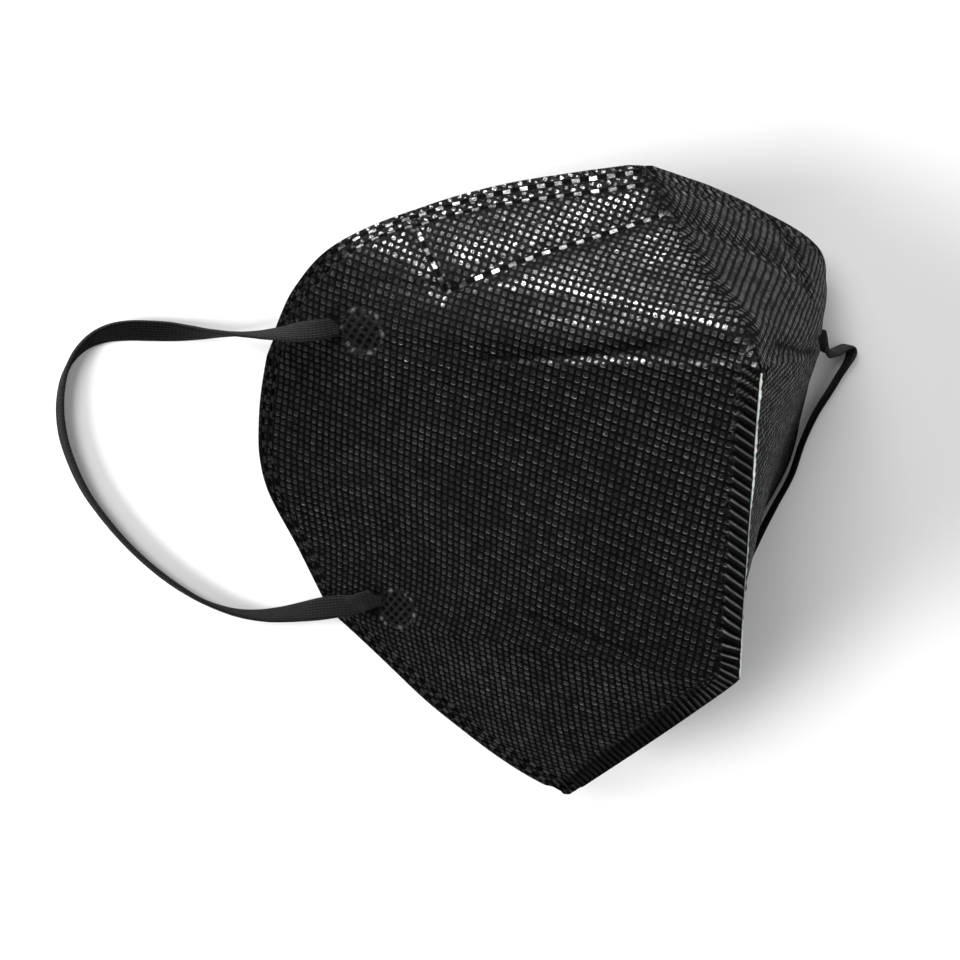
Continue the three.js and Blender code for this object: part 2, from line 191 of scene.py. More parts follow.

# The ear loops: how their ends dip and narrow, their ribs, the painted shade at their ends, their
# meshes' steps, how square their outline is across, and the fine steps along a route
STRAP_DIP = 1.9
STRAP_DIP_RUN = 4.5
STRAP_SLIMMER = 0.22
STRAP_SLIM_RUN = 16.0
STRAP_RIB_PITCH = 0.62
STRAP_RIB_HEIGHT = 0.06
STRAP_END_SHADE = 0.9
STRAP_STEPS = 260
STRAP_AROUND = 40
STRAP_SIDE_POWER = 0.5
STRAP_FACE_POWER = 0.62
ROUTE_FINE_STEPS = 2400

# How many millimetres a unit of the UV map is, and a distance at which no weld can be seen
BLANK_UNIT = 100.0
FAR_OFF = 99.0

# The fibres: the turn of each set, its fineness, and how many times longer than wide they are
STRAND_TURNS = ((0.5, 460.0), (1.55, 520.0), (2.45, 430.0))
STRAND_STRETCH = 7.0

# How far apart the small stitches across the elastic are
STITCH_PITCH = 0.8

# The lamps: name, power setting, share of it, place and sides in metres, and what doesn't see it
LAMPS = [
    ("high_key_lamp", "key_power", 0.34, (-0.93, 0.47, 1.08), (0.40, 0.40), "visible_glossy"),
    ("low_key_lamp", "key_power", 0.66, (-1.28, -0.07, 0.77), (0.40, 0.40), "visible_glossy"),
    ("nose_lamp", "nose_power", 1.0, (-0.63, 1.07, 0.37), (0.49, 0.28), "visible_diffuse"),
    ("side_lamp", "side_power", 1.0, (0.18, 1.26, 0.18), (0.80, 0.36), "visible_diffuse"),
]

# The camera's place in metres, and which ways its right, its top and its back point
CAMERA_PLACE = (-0.21915, 0.07341, 0.42603)
CAMERA_AXES = ((0.90300, 0.02800, 0.42870), (0.04290, 0.98700, -0.15480), (-0.42750, 0.15810, 0.89010))

# One row for each level of the blank, from the chin to the nose. rim: how far back the rim is.
# y and drop: where the front edge lies, and how far it is below the seam. front, middle, rear:
# how far the wall opens from upright, in degrees. drift: how much further the rim lies in y.
SECTION_COLUMNS = ("up", "rim", "y", "drop", "front", "middle", "rear", "drift")
SECTIONS = [
    (-48, 50.5, -39.5, 56.5, 40, 38, 36, 0.0),
    (-40, 61.5, -33.2, 47.0, 41, 34, 27, -0.7),
    (-24, 77.3, -20.6, 28.2, 42, 31, 20, -1.5),
    (-12, 88.6, -10.9, 14.0, 38, 30, 20, -1.3),
    (0, 98.3, -1.0, 0.0, 36, 30, 24, -0.8),
    (15, 104.4, 13.1, 0.0, 46, 29, 36, -1.4),
    (30, 107.5, 28.5, 0.0, 49, 33, 41, -2.8),
    (45, 107.2, 43.7, 0.0, 50, 37, 36, -3.3),
    (59, 104.2, 58.4, 0.0, 49, 42, 28, -4.6),
    (66, 100.2, 64.8, 5.7, 50, 46, 27, -4.4),
    (74, 94.2, 70.6, 12.4, 51, 50, 36, -2.1),
    (82, 85.2, 75.8, 18.9, 50, 53, 49, 1.4),
    (90, 72.1, 81.1, 24.8, 49, 52, 52, 2.9),
    (98, 55.6, 87.3, 30.3, 47, 50, 51, 2.3),
    (106, 29.5, 94.9, 36.1, 47, 47, 47, 0.0),
]
LEVELS = np.array([row[0] for row in SECTIONS], float)

# The ear loops from the upper weld to the lower one: x, y, z of the strap's middle in metres,
# and how far its width leans from upright, in degrees.
LEFT_ROUTE = [
    (-0.0588, 0.0337, 0.0236, -73),
    (-0.0606, 0.0332, 0.0214, -71),
    (-0.0627, 0.0327, 0.0192, -58),
    (-0.0649, 0.0322, 0.0167, -36),
    (-0.0673, 0.0318, 0.0141, -16),
    (-0.0698, 0.0314, 0.0112, -4),
    (-0.0726, 0.0312, 0.0084, 4),
    (-0.0757, 0.0311, 0.0059, 14),
    (-0.0791, 0.0310, 0.0040, 28),
    (-0.0827, 0.0311, 0.0028, 42),
    (-0.0859, 0.0313, 0.0022, 52),
    (-0.0898, 0.0315, 0.0020, 56),
    (-0.0939, 0.0316, 0.0020, 56),
    (-0.0980, 0.0312, 0.0022, 50),
    (-0.1018, 0.0298, 0.0025, 38),
    (-0.1049, 0.0271, 0.0027, 25),
    (-0.1071, 0.0230, 0.0027, 12),
    (-0.1080, 0.0171, 0.0027, 4),
    (-0.1074, 0.0110, 0.0027, 0),
    (-0.1055, 0.0051, 0.0027, 0),
    (-0.1029, -0.0003, 0.0027, 0),
    (-0.0995, -0.0053, 0.0027, 0),
    (-0.0951, -0.0107, 0.0027, 0),
    (-0.0899, -0.0159, 0.0027, -2),
    (-0.0840, -0.0207, 0.0027, -4),
    (-0.0778, -0.0246, 0.0027, -2),
    (-0.0713, -0.0272, 0.0027, 4),
    (-0.0653, -0.0283, 0.0027, 14),
    (-0.0601, -0.0283, 0.0029, 25),
    (-0.0561, -0.0278, 0.0037, 38),
    (-0.0529, -0.0271, 0.0053, 55),
    (-0.0503, -0.0264, 0.0074, 72),
    (-0.0480, -0.0258, 0.0095, 82),
    (-0.0465, -0.0247, 0.0119, 78),
    (-0.0450, -0.0237, 0.0149, 75),
]
RIGHT_ROUTE = [
    (0.0574, 0.0300, 0.0237, 71),
    (0.0596, 0.0293, 0.0203, 65),
    (0.0617, 0.0285, 0.0169, 60),
    (0.0646, 0.0274, 0.0134, 52),
    (0.0665, 0.0262, 0.0104, 38),
    (0.0682, 0.0254, 0.0079, 24),
    (0.0703, 0.0248, 0.0060, 12),
    (0.0724, 0.0245, 0.0045, 4),
    (0.0745, 0.0247, 0.0035, 0),
    (0.0761, 0.0251, 0.0030, 0),
    (0.0774, 0.0255, 0.0028, 0),
    (0.0785, 0.0254, 0.0027, 3),
    (0.0791, 0.0244, 0.0027, 7),
    (0.0788, 0.0229, 0.0027, 12),
    (0.0777, 0.0210, 0.0026, 18),
    (0.0759, 0.0185, 0.0026, 20),
    (0.0741, 0.0158, 0.0026, 20),
    (0.0721, 0.0130, 0.0026, 20),
    (0.0700, 0.0099, 0.0026, 22),
    (0.0668, 0.0035, 0.0027, 25),
    (0.0641, -0.0042, 0.0027, 25),
    (0.0597, -0.0117, 0.0027, 24),
    (0.0556, -0.0191, 0.0027, 22),
    (0.0526, -0.0255, 0.0027, 20),
    (0.0521, -0.0296, 0.0027, 18),
    (0.0517, -0.0337, 0.0027, 13),
    (0.0514, -0.0378, 0.0027, 7),
    (0.0503, -0.0420, 0.0027, 2),
    (0.0479, -0.0460, 0.0027, 0),
    (0.0442, -0.0492, 0.0028, 0),
    (0.0399, -0.0504, 0.0031, 0),
    (0.0362, -0.0488, 0.0042, -5),
    (0.0346, -0.0452, 0.0060, -11),
    (0.0353, -0.0412, 0.0078, -16),
    (0.0376, -0.0377, 0.0093, -20),
    (0.0406, -0.0343, 0.0106, -28),
    (0.0439, -0.0312, 0.0122, -38),
    (0.0457, -0.0278, 0.0134, -50),
    (0.0443, -0.0263, 0.0159, -61),
]


def smooth_step(amount):
    """0 to 1 with soft ends."""
    t = np.clip(amount, 0.0, 1.0)
    return t * t * (3.0 - 2.0 * t)


def bell(distance, width, flat=0.0):
    """1 out to the flat distance on both sides, and falling softly to 0 past it."""
    return np.exp(-((np.maximum(np.abs(distance) - flat, 0.0) / width) ** 2))


def unit(vectors):
    return vectors / np.maximum(np.linalg.norm(vectors, axis=-1, keepdims=True), 1e-9)


def smooth_curve(knots, values, slopes, places):
    """A smooth curve that has the given values and slopes at its knots."""
    row = np.clip(np.searchsorted(knots, places, side="right") - 1, 0, len(knots) - 2)
    gap = knots[row + 1] - knots[row]
    t = (places - knots[row]) / gap
    start = (2 * t**3 - 3 * t**2 + 1) * values[row] + (t**3 - 2 * t**2 + t) * gap * slopes[row]
    end = (3 * t**2 - 2 * t**3) * values[row + 1] + (t**3 - t**2) * gap * slopes[row + 1]
    return start + end


def column(name, up):
    """A column of SECTIONS at any level, as a smooth curve through its rows."""
    values = np.array([row[SECTION_COLUMNS.index(name)] for row in SECTIONS], float)
    steps = np.diff(LEVELS)
    slopes = np.diff(values) / steps
    inner = (slopes[:-1] * steps[1:] + slopes[1:] * steps[:-1]) / (steps[1:] + steps[:-1])
    return smooth_curve(LEVELS, values, np.concatenate([slopes[:1], inner, slopes[-1:]]), up)


def straight_column(name, up):
    """A column at any level, as straight lines between its rows."""
    return np.interp(up, LEVELS, [row[SECTION_COLUMNS.index(name)] for row in SECTIONS])


def cut_edge(up):
    """How far behind the seam line the front edge of the blank is."""
    chin = -up * CHIN_BACK / CHIN_DOWN
    nose = (up - SEAM_LENGTH) * NOSE_BACK / (NOSE_UP - SEAM_LENGTH)
    return np.where(up < 0, chin, np.maximum(nose, 0.0))


def seam_share(up):
    """1 along the welded seam, fading to 0 where the fold over the nose begins."""
    return smooth_step((SEAM_LENGTH - up) / FIN_TOP_TAPER)


def fin_width(up):
    end = np.clip((up + CHIN_DOWN) / FIN_END_TAPER, 0.0, 1.0)
    return FIN_WIDTH * seam_share(up) * end


def over_steps(amount, size):
    """The sum of an amount over even steps, each with its share of a size."""
    total = 0.0
    for step in range(BEND_STEPS):
        total = total + amount(step + 0.5) * size / BEND_STEPS
    return total


def bend(back, up, side):
    """The opened place of points of the blank: side is -1 for the left half, 1 for the right."""
    back, up = np.broadcast_arrays(np.asarray(back, float), np.asarray(up, float))
    edge = cut_edge(up)
    fin = fin_width(up)
    start = edge if side < 0 else edge + fin
    reach = column("rim", up) - edge
    tuck = RIGHT_TUCK * bell(up - TUCK_UP, TUCK_SPREAD)
    extra = RIGHT_EXTRA * seam_share(up) - tuck if side > 0 else 0.0 * up
    front, middle, rear = column("front", up), column("middle", up), column("rear", up)
    softness = FOLD_SOFTNESS * smooth_step((up - SEAM_LENGTH) / FOLD_START)

    def left_opening(share):
        first = front * (2 * share - 1) * (share - 1)
        return first + middle * 4 * share * (1 - share) + rear * share * (2 * share - 1)

    def opening(share):
        plain = left_opening(share) + extra
        spread = np.minimum((share * reach / np.maximum(softness, 1e-6)) ** 2, 400.0)
        near_fold = np.where(softness > 0, np.exp(-spread), 0.0)
        return np.radians(plain + (90.0 - plain) * near_fold)

    left_drop = over_steps(lambda step: np.cos(np.radians(left_opening(step / BEND_STEPS))), reach)
    own_drop = over_steps(lambda step: np.cos(opening(step / BEND_STEPS)), reach)
    edge_height = SEAM_HEIGHT - straight_column("drop", up)
    fall = (edge_height - np.maximum(edge_height - left_drop, 0.0)) / own_drop

    side_levels = [-CHIN_DOWN, 0.0, SEAM_LENGTH, NOSE_UP]
    start_x = np.interp(up, side_levels, [CHIN_SIDE, SEAM_FOOT_SIDE, SEAM_TOP_SIDE, NOSE_SIDE])
    start_z = edge_height
    if side > 0:
        start_x = start_x - fin * np.sin(np.radians(front))
        start_z = start_z - fin * np.cos(np.radians(front)) * fall

    run = back - start

    def angle_at(step):
        share = (start - edge) / reach + run / reach * step / BEND_STEPS
        return opening(np.maximum(share, 0.0))

    x = start_x + side * over_steps(lambda step: np.sin(angle_at(step)), run)
    down = over_steps(lambda step: np.cos(angle_at(step)), run)
    y = column("y", up) - BODY_MIDDLE_Y + column("drift", up) * (back - edge) / reach
    z = np.maximum(start_z - down * fall, 0.0)
    return np.stack([x, y, z], -1)


# --------------------- Where the welds and creases are ----------------------


def along_line(line, back, up):
    """How far points of the blank are along a line of corners, and how far across it."""
    best = np.full(np.shape(back), 1e9)
    along = np.zeros(np.shape(back))
    across = np.zeros(np.shape(back))
    travelled = 0.0
    for (b0, u0), (b1, u1) in zip(line[:-1], line[1:]):
        length = math.hypot(b1 - b0, u1 - u0)
        tb, tu = (b1 - b0) / length, (u1 - u0) / length
        t = np.clip((back - b0) * tb + (up - u0) * tu, 0.0, length)
        db, du = back - b0 - t * tb, up - u0 - t * tu
        distance = np.hypot(db, du)
        nearer = distance < best
        sign = np.where(tb * du - tu * db >= 0, 1.0, -1.0)
        along = np.where(nearer, travelled + t, along)
        across = np.where(nearer, sign * distance, across)
        best = np.where(nearer, distance, best)
        travelled += length
    return along, across


def nearer_line(first, second):
    """The values of the nearer of two lines; their second values are distances across them."""
    use_second = np.abs(second[1]) < np.abs(first[1])
    return [np.where(use_second, b, a) for a, b in zip(first, second)]


def crease(line, share, back, up):
    """How deep a crease is at each point, fading at its ends, and the distance across it."""
    along, across = along_line(line, back, up)
    to_end = sum(math.dist(*ends) for ends in zip(line[:-1], line[1:])) - along
    ends = smooth_step(along / CREASE_START_RUN) * smooth_step(to_end / CREASE_END_RUN)
    return share * ends, across


def rim_line():
    levels = np.linspace(-CHIN_DOWN, NOSE_UP, RIM_CORNERS)
    return list(zip(column("rim", levels).tolist(), levels.tolist()))


def blank_fields(back, up):
    """Where each point of the blank lies along and across the welds, rim, seam and ridge. For
    the creases it is depth and distance across, and for the loop welds the place from a middle."""
    seam_corners = [(CHIN_BACK, -CHIN_DOWN), (0.0, 0.0), (0.0, SEAM_LENGTH)]
    seam_along, seam_across = along_line(seam_corners, back, up)
    rim_along, rim_across = along_line(rim_line(), back, up)
    full = smooth_step((up - DRAWN_IN_BELOW) / DRAWN_IN_OVER)
    low = smooth_step((LET_OUT_BELOW - up) / LET_OUT_OVER)
    rows_at = RIM_ROWS_DRAWN_IN + (1.0 - RIM_ROWS_DRAWN_IN) * full + RIM_ROWS_LET_OUT * low
    upper, lower = LOOP_WELDS
    use_upper = up > (upper[1] + lower[1]) / 2
    creases = ((UPPER_CREASE, 1.0), (LOWER_CREASE, LOWER_CREASE_SHARE))
    return {
        "weld": nearer_line(*(along_line(line, back, up) for line in (POCKET_WELD, POCKET_END_WELD))),
        "crease": nearer_line(*(crease(line, share, back, up) for line, share in creases)),
        "rim": (rim_along, np.abs(rim_across) / rows_at),
        "seam": (seam_along, np.abs(seam_across)),
        "ridge": along_line(SOFT_RIDGE, back, up),
        "disc": [p - np.where(use_upper, a, b) for p, a, b in zip((back, up), upper, lower)],
    }


# ------------------------ What is pressed into them, with painted shade and glints ---


def loop_weld_ribs(back, up):
    """1 on the crossing ribs of an ear loop's weld, 0 in the diamonds between them."""
    ribs = 0.0
    for turn in np.radians(LOOP_WELD_TURNS):
        place = back * math.cos(turn) + up * math.sin(turn)
        ribs = np.maximum(ribs, np.abs(np.cos(math.pi * place / LOOP_WELD_PITCH)) ** 3)
    return ribs


def loop_weld_share(back, up):
    """1 inside the round of an ear loop's weld, 0 outside it."""
    return smooth_step((LOOP_WELD_RADIUS - np.hypot(back, up)) / 0.6)


def strap_hollow(back, up):
    """1 in the hollow at the rim's side of an ear loop's weld, where the strap goes in."""
    offsets = (back - STRAP_HOLLOW_PLACE[0], up - STRAP_HOLLOW_PLACE[1])
    return bell(offsets[0], STRAP_HOLLOW_SIZE[0]) * bell(offsets[1], STRAP_HOLLOW_SIZE[1])


def loop_weld_relief(back, up):
    """The pressed round of an ear loop's weld, with its crossing ribs."""
    dish = LOOP_WELD_DISH * smooth_step((LOOP_WELD_RADIUS + 2.2 - np.hypot(back, up)) / 3.0)
    ribs = loop_weld_share(back, up) * (LOOP_RIB_HEIGHT * loop_weld_ribs(back, up) - LOOP_RIB_SINK)
    return ribs - dish - STRAP_HOLLOW_DEPTH * strap_hollow(back, up)


def loop_weld_painted_glints(back, up):
    """1 at painted glints on the melted beads round the edge of an ear loop's weld."""
    radius, angle = np.hypot(back, up), np.arctan2(up, back)
    beads = smooth_step((np.sin(11 * angle) * np.sin(5 * angle + 1.3) - 0.25) / 0.3)
    return beads * bell(radius - LOOP_WELD_RADIUS + 0.2 * np.sin(7 * angle), 0.32)


def rib_turns(along, across):
    """How many ribs of the front seam come before each point; whole numbers are their middles."""
    past = along - SEAM_CORNER
    fan = RIB_FAN * smooth_step((RIB_FAN_REACH - np.abs(past)) / RIB_FAN_REACH)
    slant = np.tan(np.radians(np.where(past > 0, RIB_SLANT, CHIN_RIB_SLANT)))
    slant = slant * smooth_step((np.abs(past) - 4.0) / 10.0)
    return (along - np.sign(past) * across * fan - across * slant) / RIB_PITCH


def seam_ribs(along, across):
    """1 on the slanting ribs that are pressed into the front seam, 0 between them."""
    wave = 0.5 + 0.5 * np.cos(2 * math.pi * rib_turns(along, across))
    return smooth_step((wave - 0.22) / 0.45)


def before_seam_end(along):
    return smooth_step((SEAM_LENGTH + SEAM_CORNER - along) / 0.1)


def seam_band(along, across):
    """1 over the welded band of the front seam, 0 behind it and past its upper end."""
    return smooth_step((FIN_WIDTH + 0.2 - across) / 0.5) * before_seam_end(along)


def rib_painted_glints(along, across):
    """1 along the upper edge of each rib, a painted highlight where its pressed lip would catch the
    light; it is fainter towards the chin."""
    turns = rib_turns(along, across)
    faint = 0.15 + 0.85 * smooth_step((along - 40.0) / 30.0)
    return seam_band(along, across) * faint * bell(turns - np.round(turns) - 0.23, 0.07)


def rib_relief(along, across):
    """The hollows between the ribs of the front seam, and the groove at the ribs' roots."""
    hollows = smooth_step((across + 0.1) / 1.1) * (1.0 - seam_ribs(along, across))
    groove = RIB_ROOT_DEPTH * bell(across - RIB_ROOT_PLACE, 0.7) * before_seam_end(along)
    return -RIB_DEPTH * seam_band(along, across) * hollows - groove


def relief(fields, back, up):
    """How far the outer face stands out of the plain bent blank."""
    weld, rim, ridge = (fields[name][1] for name in ("weld", "rim", "ridge"))
    pinch = bell(weld, WELD_FADE, WELD_FLAT)
    sag = np.where(weld < 0, bell(weld, POCKET_SAG_REACH) - pinch, 0.0)
    height = -WELD_DEPTH * pinch - POCKET_SAG * sag
    crease_share, across = fields["crease"]
    width = np.where(across < 0, CREASE_NOSE_WIDTH, CREASE_CHIN_WIDTH)
    height = height - CREASE_DEPTH * crease_share * bell(across, width)
    from_ridge = np.hypot(ridge, RIDGE_BLUNTNESS) - RIDGE_BLUNTNESS
    long_slope = np.exp(-from_ridge / RIDGE_LONG_REACH)
    short_slope = np.exp(-((from_ridge / RIDGE_SHORT_REACH) ** 1.5))
    chin_slope = (1.0 - RIDGE_SHORT_SHARE) * long_slope + RIDGE_SHORT_SHARE * short_slope
    height = height + RIDGE_HEIGHT * np.where(ridge < 0, long_slope, chin_slope)
    for row in RIM_WELD_ROWS:
        height = height - ROW_DEPTH * bell(rim - row, ROW_FADE, ROW_FLAT)
    height = height - RIM_BAND_DEPTH * smooth_step((RIM_BAND - rim) / RIM_BAND_FADE)
    height = height + loop_weld_relief(*fields["disc"]) + rib_relief(*fields["seam"])
    waves = np.sin(0.11 * back + 0.07 * up) * np.sin(0.05 * back - 0.13 * up + 1.0)
    fine_waves = np.sin(0.31 * back + 0.11 * up + 2.0) * np.sin(0.23 * up - 0.12 * back)
    all_waves = WAVE_HEIGHT * waves + FINE_WAVE_HEIGHT * fine_waves
    return height + smooth_step(fields["seam"][1] / WAVES_FROM_SEAM) * all_waves


def press_marks_and_painted_shade(fields):
    """For each point: how much its welds shine, how far its bonds show, and how dark its painted shade
    is.
    """
    weld, rim, seam_across = (fields[name][1] for name in ("weld", "rim", "seam"))
    crease_share, crease_across = fields["crease"]
    in_disc = loop_weld_share(*fields["disc"])
    ribs = loop_weld_ribs(*fields["disc"])
    band = seam_band(*fields["seam"])
    bars = seam_ribs(*fields["seam"])
    bar_edges = 4.0 * bars * (1.0 - bars)
    root = bell(seam_across - RIB_ROOT_PLACE, 0.5)
    between = 1.0 - smooth_step(2.5 * bars)
    # Painted shade: dark lines in the creases, dark diamonds between the loop welds' ribs, a painted
    # shadow in the hollow where the strap goes in, and dark gaps between the seam's ribs and at their
    # root.
    dark = np.maximum.reduce([
        0.75 * crease_share * bell(crease_across, CREASE_SHADE_WIDTH),
        0.8 * in_disc * (1.0 - ribs),
        0.9 * strap_hollow(*fields["disc"]) * (1.0 - in_disc),
        0.92 * band * between,
        0.92 * root * between,
    ])
    shine = np.maximum.reduce([
        0.8 * in_disc * ribs,
        0.7 * bell(np.hypot(*fields["disc"]) - LOOP_WELD_RADIUS, 0.4),
        band * np.maximum(0.08 * bars, 0.8 * bar_edges),
        0.9 * root * bars,
    ])
    covered = [in_disc, band, smooth_step((0.80 - np.abs(weld)) / 0.25)]
    covered += [smooth_step((0.80 - np.abs(rim - row)) / 0.30) for row in RIM_WELD_ROWS]
    near_rim = 0.08 * smooth_step((5.2 - rim) / 0.8)
    bonds = (1.0 - np.maximum.reduce(covered)) * (1.0 - near_rim)
    return np.stack([shine, bonds, dark], -1)


# ---------------------------------- Meshes ----------------------------------


def grid_normals(points):
    """The unit normal at each point of a grid."""
    return unit(np.cross(np.gradient(points, axis=1), np.gradient(points, axis=0)))


def above_table(points):
    """The same points, with those below the table lifted onto it."""
    return np.concatenate([points[..., :2], np.maximum(points[..., 2:], 0.0)], axis=-1)


def vectors(*parts):
    """Vectors from up to three arrays, with zeros for those that aren't given."""
    missing = [np.zeros(parts[0].shape)] * (3 - len(parts))
    return np.stack([*parts, *missing], -1)


def make_grid(name, points, blank, marks=None, flip=False, closed=False):
    """A mesh of quads from a grid of points, with its blank places as a UV map and its marks as
    attributes; closed joins its last column to its first."""
    numbers = np.arange(points.shape[0] * points.shape[1]).reshape(points.shape[:2])
    if closed:
        numbers = np.concatenate([numbers, numbers[:, :1]], axis=1)
    corners = [numbers[:-1, :-1], numbers[:-1, 1:], numbers[1:, 1:], numbers[1:, :-1]]
    if flip:
        corners = corners[::-1]
    quads = np.stack([c.ravel() for c in corners], -1)
    mesh = bpy.data.meshes.new(name)
    mesh.vertices.add(points.shape[0] * points.shape[1])
    mesh.vertices.foreach_set("co", (points * MM).astype(np.float32).ravel())
    mesh.loops.add(quads.size)
    mesh.loops.foreach_set("vertex_index", quads.astype(np.int32).ravel())
    mesh.polygons.add(len(quads))
    mesh.polygons.foreach_set("loop_start", np.arange(0, quads.size, 4, dtype=np.int32))
    mesh.update(calc_edges=True)
    layer = mesh.uv_layers.new(name="blank")
    places = blank.reshape(-1, 2)[quads.ravel()] / BLANK_UNIT
    layer.data.foreach_set("uv", places.astype(np.float32).ravel())
    for key, values in (marks or {}).items():
        attribute = mesh.attributes.new(key, "FLOAT_VECTOR", "POINT")
        attribute.data.foreach_set("vector", values.astype(np.float32).ravel())
    mesh.validate()
    mesh.shade_smooth()
    piece = bpy.data.objects.new(name, mesh)
    bpy.context.scene.collection.objects.link(piece)
    return piece


def marks_of(fields, columns=slice(None)):
    """The marks of a grid's points, for the given columns of it."""
    # Painted highlights on the seam's ribs and round the loop welds.
    painted_glints = np.maximum(rib_painted_glints(*fields["seam"]), loop_weld_painted_glints(*fields["disc"]))
    marks = {"press_and_painted_shade": press_marks_and_painted_shade(fields), "painted_glints": vectors(painted_glints)}
    marks["pocket_weld"] = vectors(*fields["weld"])
    marks["rim_weld"] = vectors(*fields["rim"])
    return {key: values[:, columns] for key, values in marks.items()}


def blank_grid(levels, start, width, columns):
    """The blank places of a grid, behind its start on each level and over a width."""
    back = start + width * np.linspace(0.0, 1.0, columns)[None, :]
    return back, np.broadcast_to(levels, back.shape)


def cover_blank(rows, columns):
    """The blank places of a cover's grid, from the root of the fin to the rim."""
    levels = np.linspace(END_TRIM - CHIN_DOWN, NOSE_UP - END_TRIM, rows)[:, None]
    root = cut_edge(levels) + fin_width(levels)
    return blank_grid(levels, root, column("rim", levels) - root, columns)


def mesh_cover(name, side, rows, columns):
    """The outer face of one half, with what is pressed into it, and the turn of its rim."""
    back, up = cover_blank(rows, columns)
    plain = bend(back, up, side)
    outward = grid_normals(plain) * side
    fields = blank_fields(back, up)
    points = above_table(plain + outward * relief(fields, back, up)[..., None])
    depths = np.array(RIM_TURN_DEPTHS)[None, :, None]
    turned = above_table(points[:, -1:] - outward[:, -1:] * depths)
    points = np.concatenate([points, turned], axis=1)
    blank = np.stack([back, up], -1)
    blank = np.concatenate([blank, blank[:, -1:] + depths * np.array([1.0, 0.0])], axis=1)
    marks = marks_of(fields, [*range(columns), *[-1] * len(RIM_TURN_DEPTHS)])
    return make_grid(name, points, blank, marks, flip=side < 0)


def mesh_lining(rows, columns):
    """The inner face of both halves. It bears no welds, so it is marked as far from them."""
    back, up = cover_blank(rows, columns)
    faces = []
    for side in (-1, 1):
        outer = bend(back, up, side)
        faces.append(above_table(outer - grid_normals(outer) * side * WALL))
    left, right = faces
    middle = (left[:, :1] + right[:, :1]) / 2
    points = np.concatenate([left[:, :0:-1], middle, right[:, 1:]], axis=1)
    blank = np.stack([back, up], -1)
    blank = np.concatenate([blank[:, :0:-1], blank], axis=1)
    plain = np.zeros(points.shape)
    marks = {"press_and_painted_shade": plain + np.array([0.0, 1.0, 0.0]), "painted_glints": plain}
    marks["pocket_weld"] = marks["rim_weld"] = plain + FAR_OFF
    return make_grid("mask_lining", points, blank, marks, flip=True)


def mesh_seam_fin(rows, columns):
    """The welded front seam: its ribbed near face, its cut edge and its far face."""
    levels = np.linspace(END_TRIM - CHIN_DOWN, SEAM_LENGTH - FIN_TOP_GAP, rows)[:, None]
    width = fin_width(levels)
    back, up = blank_grid(levels, cut_edge(levels), width + FIN_ROOT_RUN, columns)
    points = bend(back, up, -1)
    outward = -grid_normals(points)
    fields = blank_fields(back, up)
    under = FIN_ROOT_SINK * smooth_step((back - cut_edge(levels) - width) / FIN_ROOT_RUN)
    near = points + outward * (relief(fields, back, up) - under)[..., None]
    far = points - outward * (FIN_THICKNESS + rib_relief(*fields["seam"]))[..., None]
    edge = [near[:, :1] * (1.0 - part) + far[:, :1] * part for part in (0.3, 0.7)]
    points = above_table(np.concatenate([near[:, ::-1], *edge, far], axis=1))
    order = [*range(columns)[::-1], 0, 0, *range(columns)]
    blank = np.stack([back, up], -1)[:, order]
    return make_grid("front_seam", points, blank, marks_of(fields, order))


def wander(count, bumps, seed):
    """A smooth uneven line of about that many bumps, from -1 to 1."""
    values = np.random.default_rng(seed).uniform(-1.0, 1.0, bumps + 2)
    return np.interp(np.linspace(0.0, bumps, count), np.arange(bumps + 2), values)


def mesh_filter_edge(steps, around):
    """The white layer that shows between the two faces of the fin, with frayed sides."""
    up = np.linspace(*FILTER_ENDS, steps)
    root = bend(cut_edge(up), up, -1)
    ahead = unit(root - bend(cut_edge(up) + 1.0, up, -1))
    through = np.cross(unit(np.gradient(root, axis=0)), ahead)
    through = through * np.where(through[:, 2:] < 0, -1.0, 1.0)
    beads = FILTER_BEADS * np.cos(2 * math.pi * up / RIB_PITCH)
    size = 0.30 + 0.70 * smooth_step((up - 20.0) / 30.0)
    size = size * (1.0 + beads + 0.28 * wander(steps, 90, 3) + 0.20 * wander(steps, 260, 4))
    drift = 0.12 * wander(steps, 14, 5) + 0.06 * wander(steps, 120, 6)
    turn = np.linspace(0.0, 2 * math.pi, around, endpoint=False)
    middle = root + ahead * (FILTER_AHEAD + drift)[:, None] - through * FIN_THICKNESS / 2
    wide = (FILTER_WIDE * size)[:, None, None] * ahead[:, None, :] * np.cos(turn)[None, :, None]
    deep = (FILTER_DEEP * size)[:, None, None] * through[:, None, :] * np.sin(turn)[None, :, None]
    blank = np.stack(np.broadcast_arrays(up[:, None], turn[None, :]), -1)
    return make_grid("filter_edge", middle[:, None, :] + wide + deep, blank, closed=True)


# -------------------------------- Ear loops ---------------------------------


def smooth_route(route, steps):
    """Even steps along a smooth curve through the route: places in metres, and leans."""
    stops = np.array(route, float)
    gaps = np.sqrt(np.linalg.norm(np.diff(stops[:, :3], axis=0), axis=1))
    knots = np.concatenate([[0.0], np.cumsum(gaps)])
    slopes = np.gradient(stops, knots, axis=0)
    fine = np.linspace(0.0, knots[-1], ROUTE_FINE_STEPS)
    curve = np.stack([smooth_curve(knots, *pair, fine) for pair in zip(stops.T, slopes.T)], -1)
    runs = np.linalg.norm(np.diff(curve[:, :3], axis=0), axis=1)
    travelled = np.concatenate([[0.0], np.cumsum(runs)])
    even = np.linspace(0.0, travelled[-1], steps)
    return np.stack([np.interp(even, travelled, part) for part in curve.T], -1), travelled[-1]


def near_ends(run, reach):
    """1 at each end of a strap and 0 beyond that reach, as two arrays."""
    return [smooth_step((reach - from_end) / reach) for from_end in (run, run[::-1])]


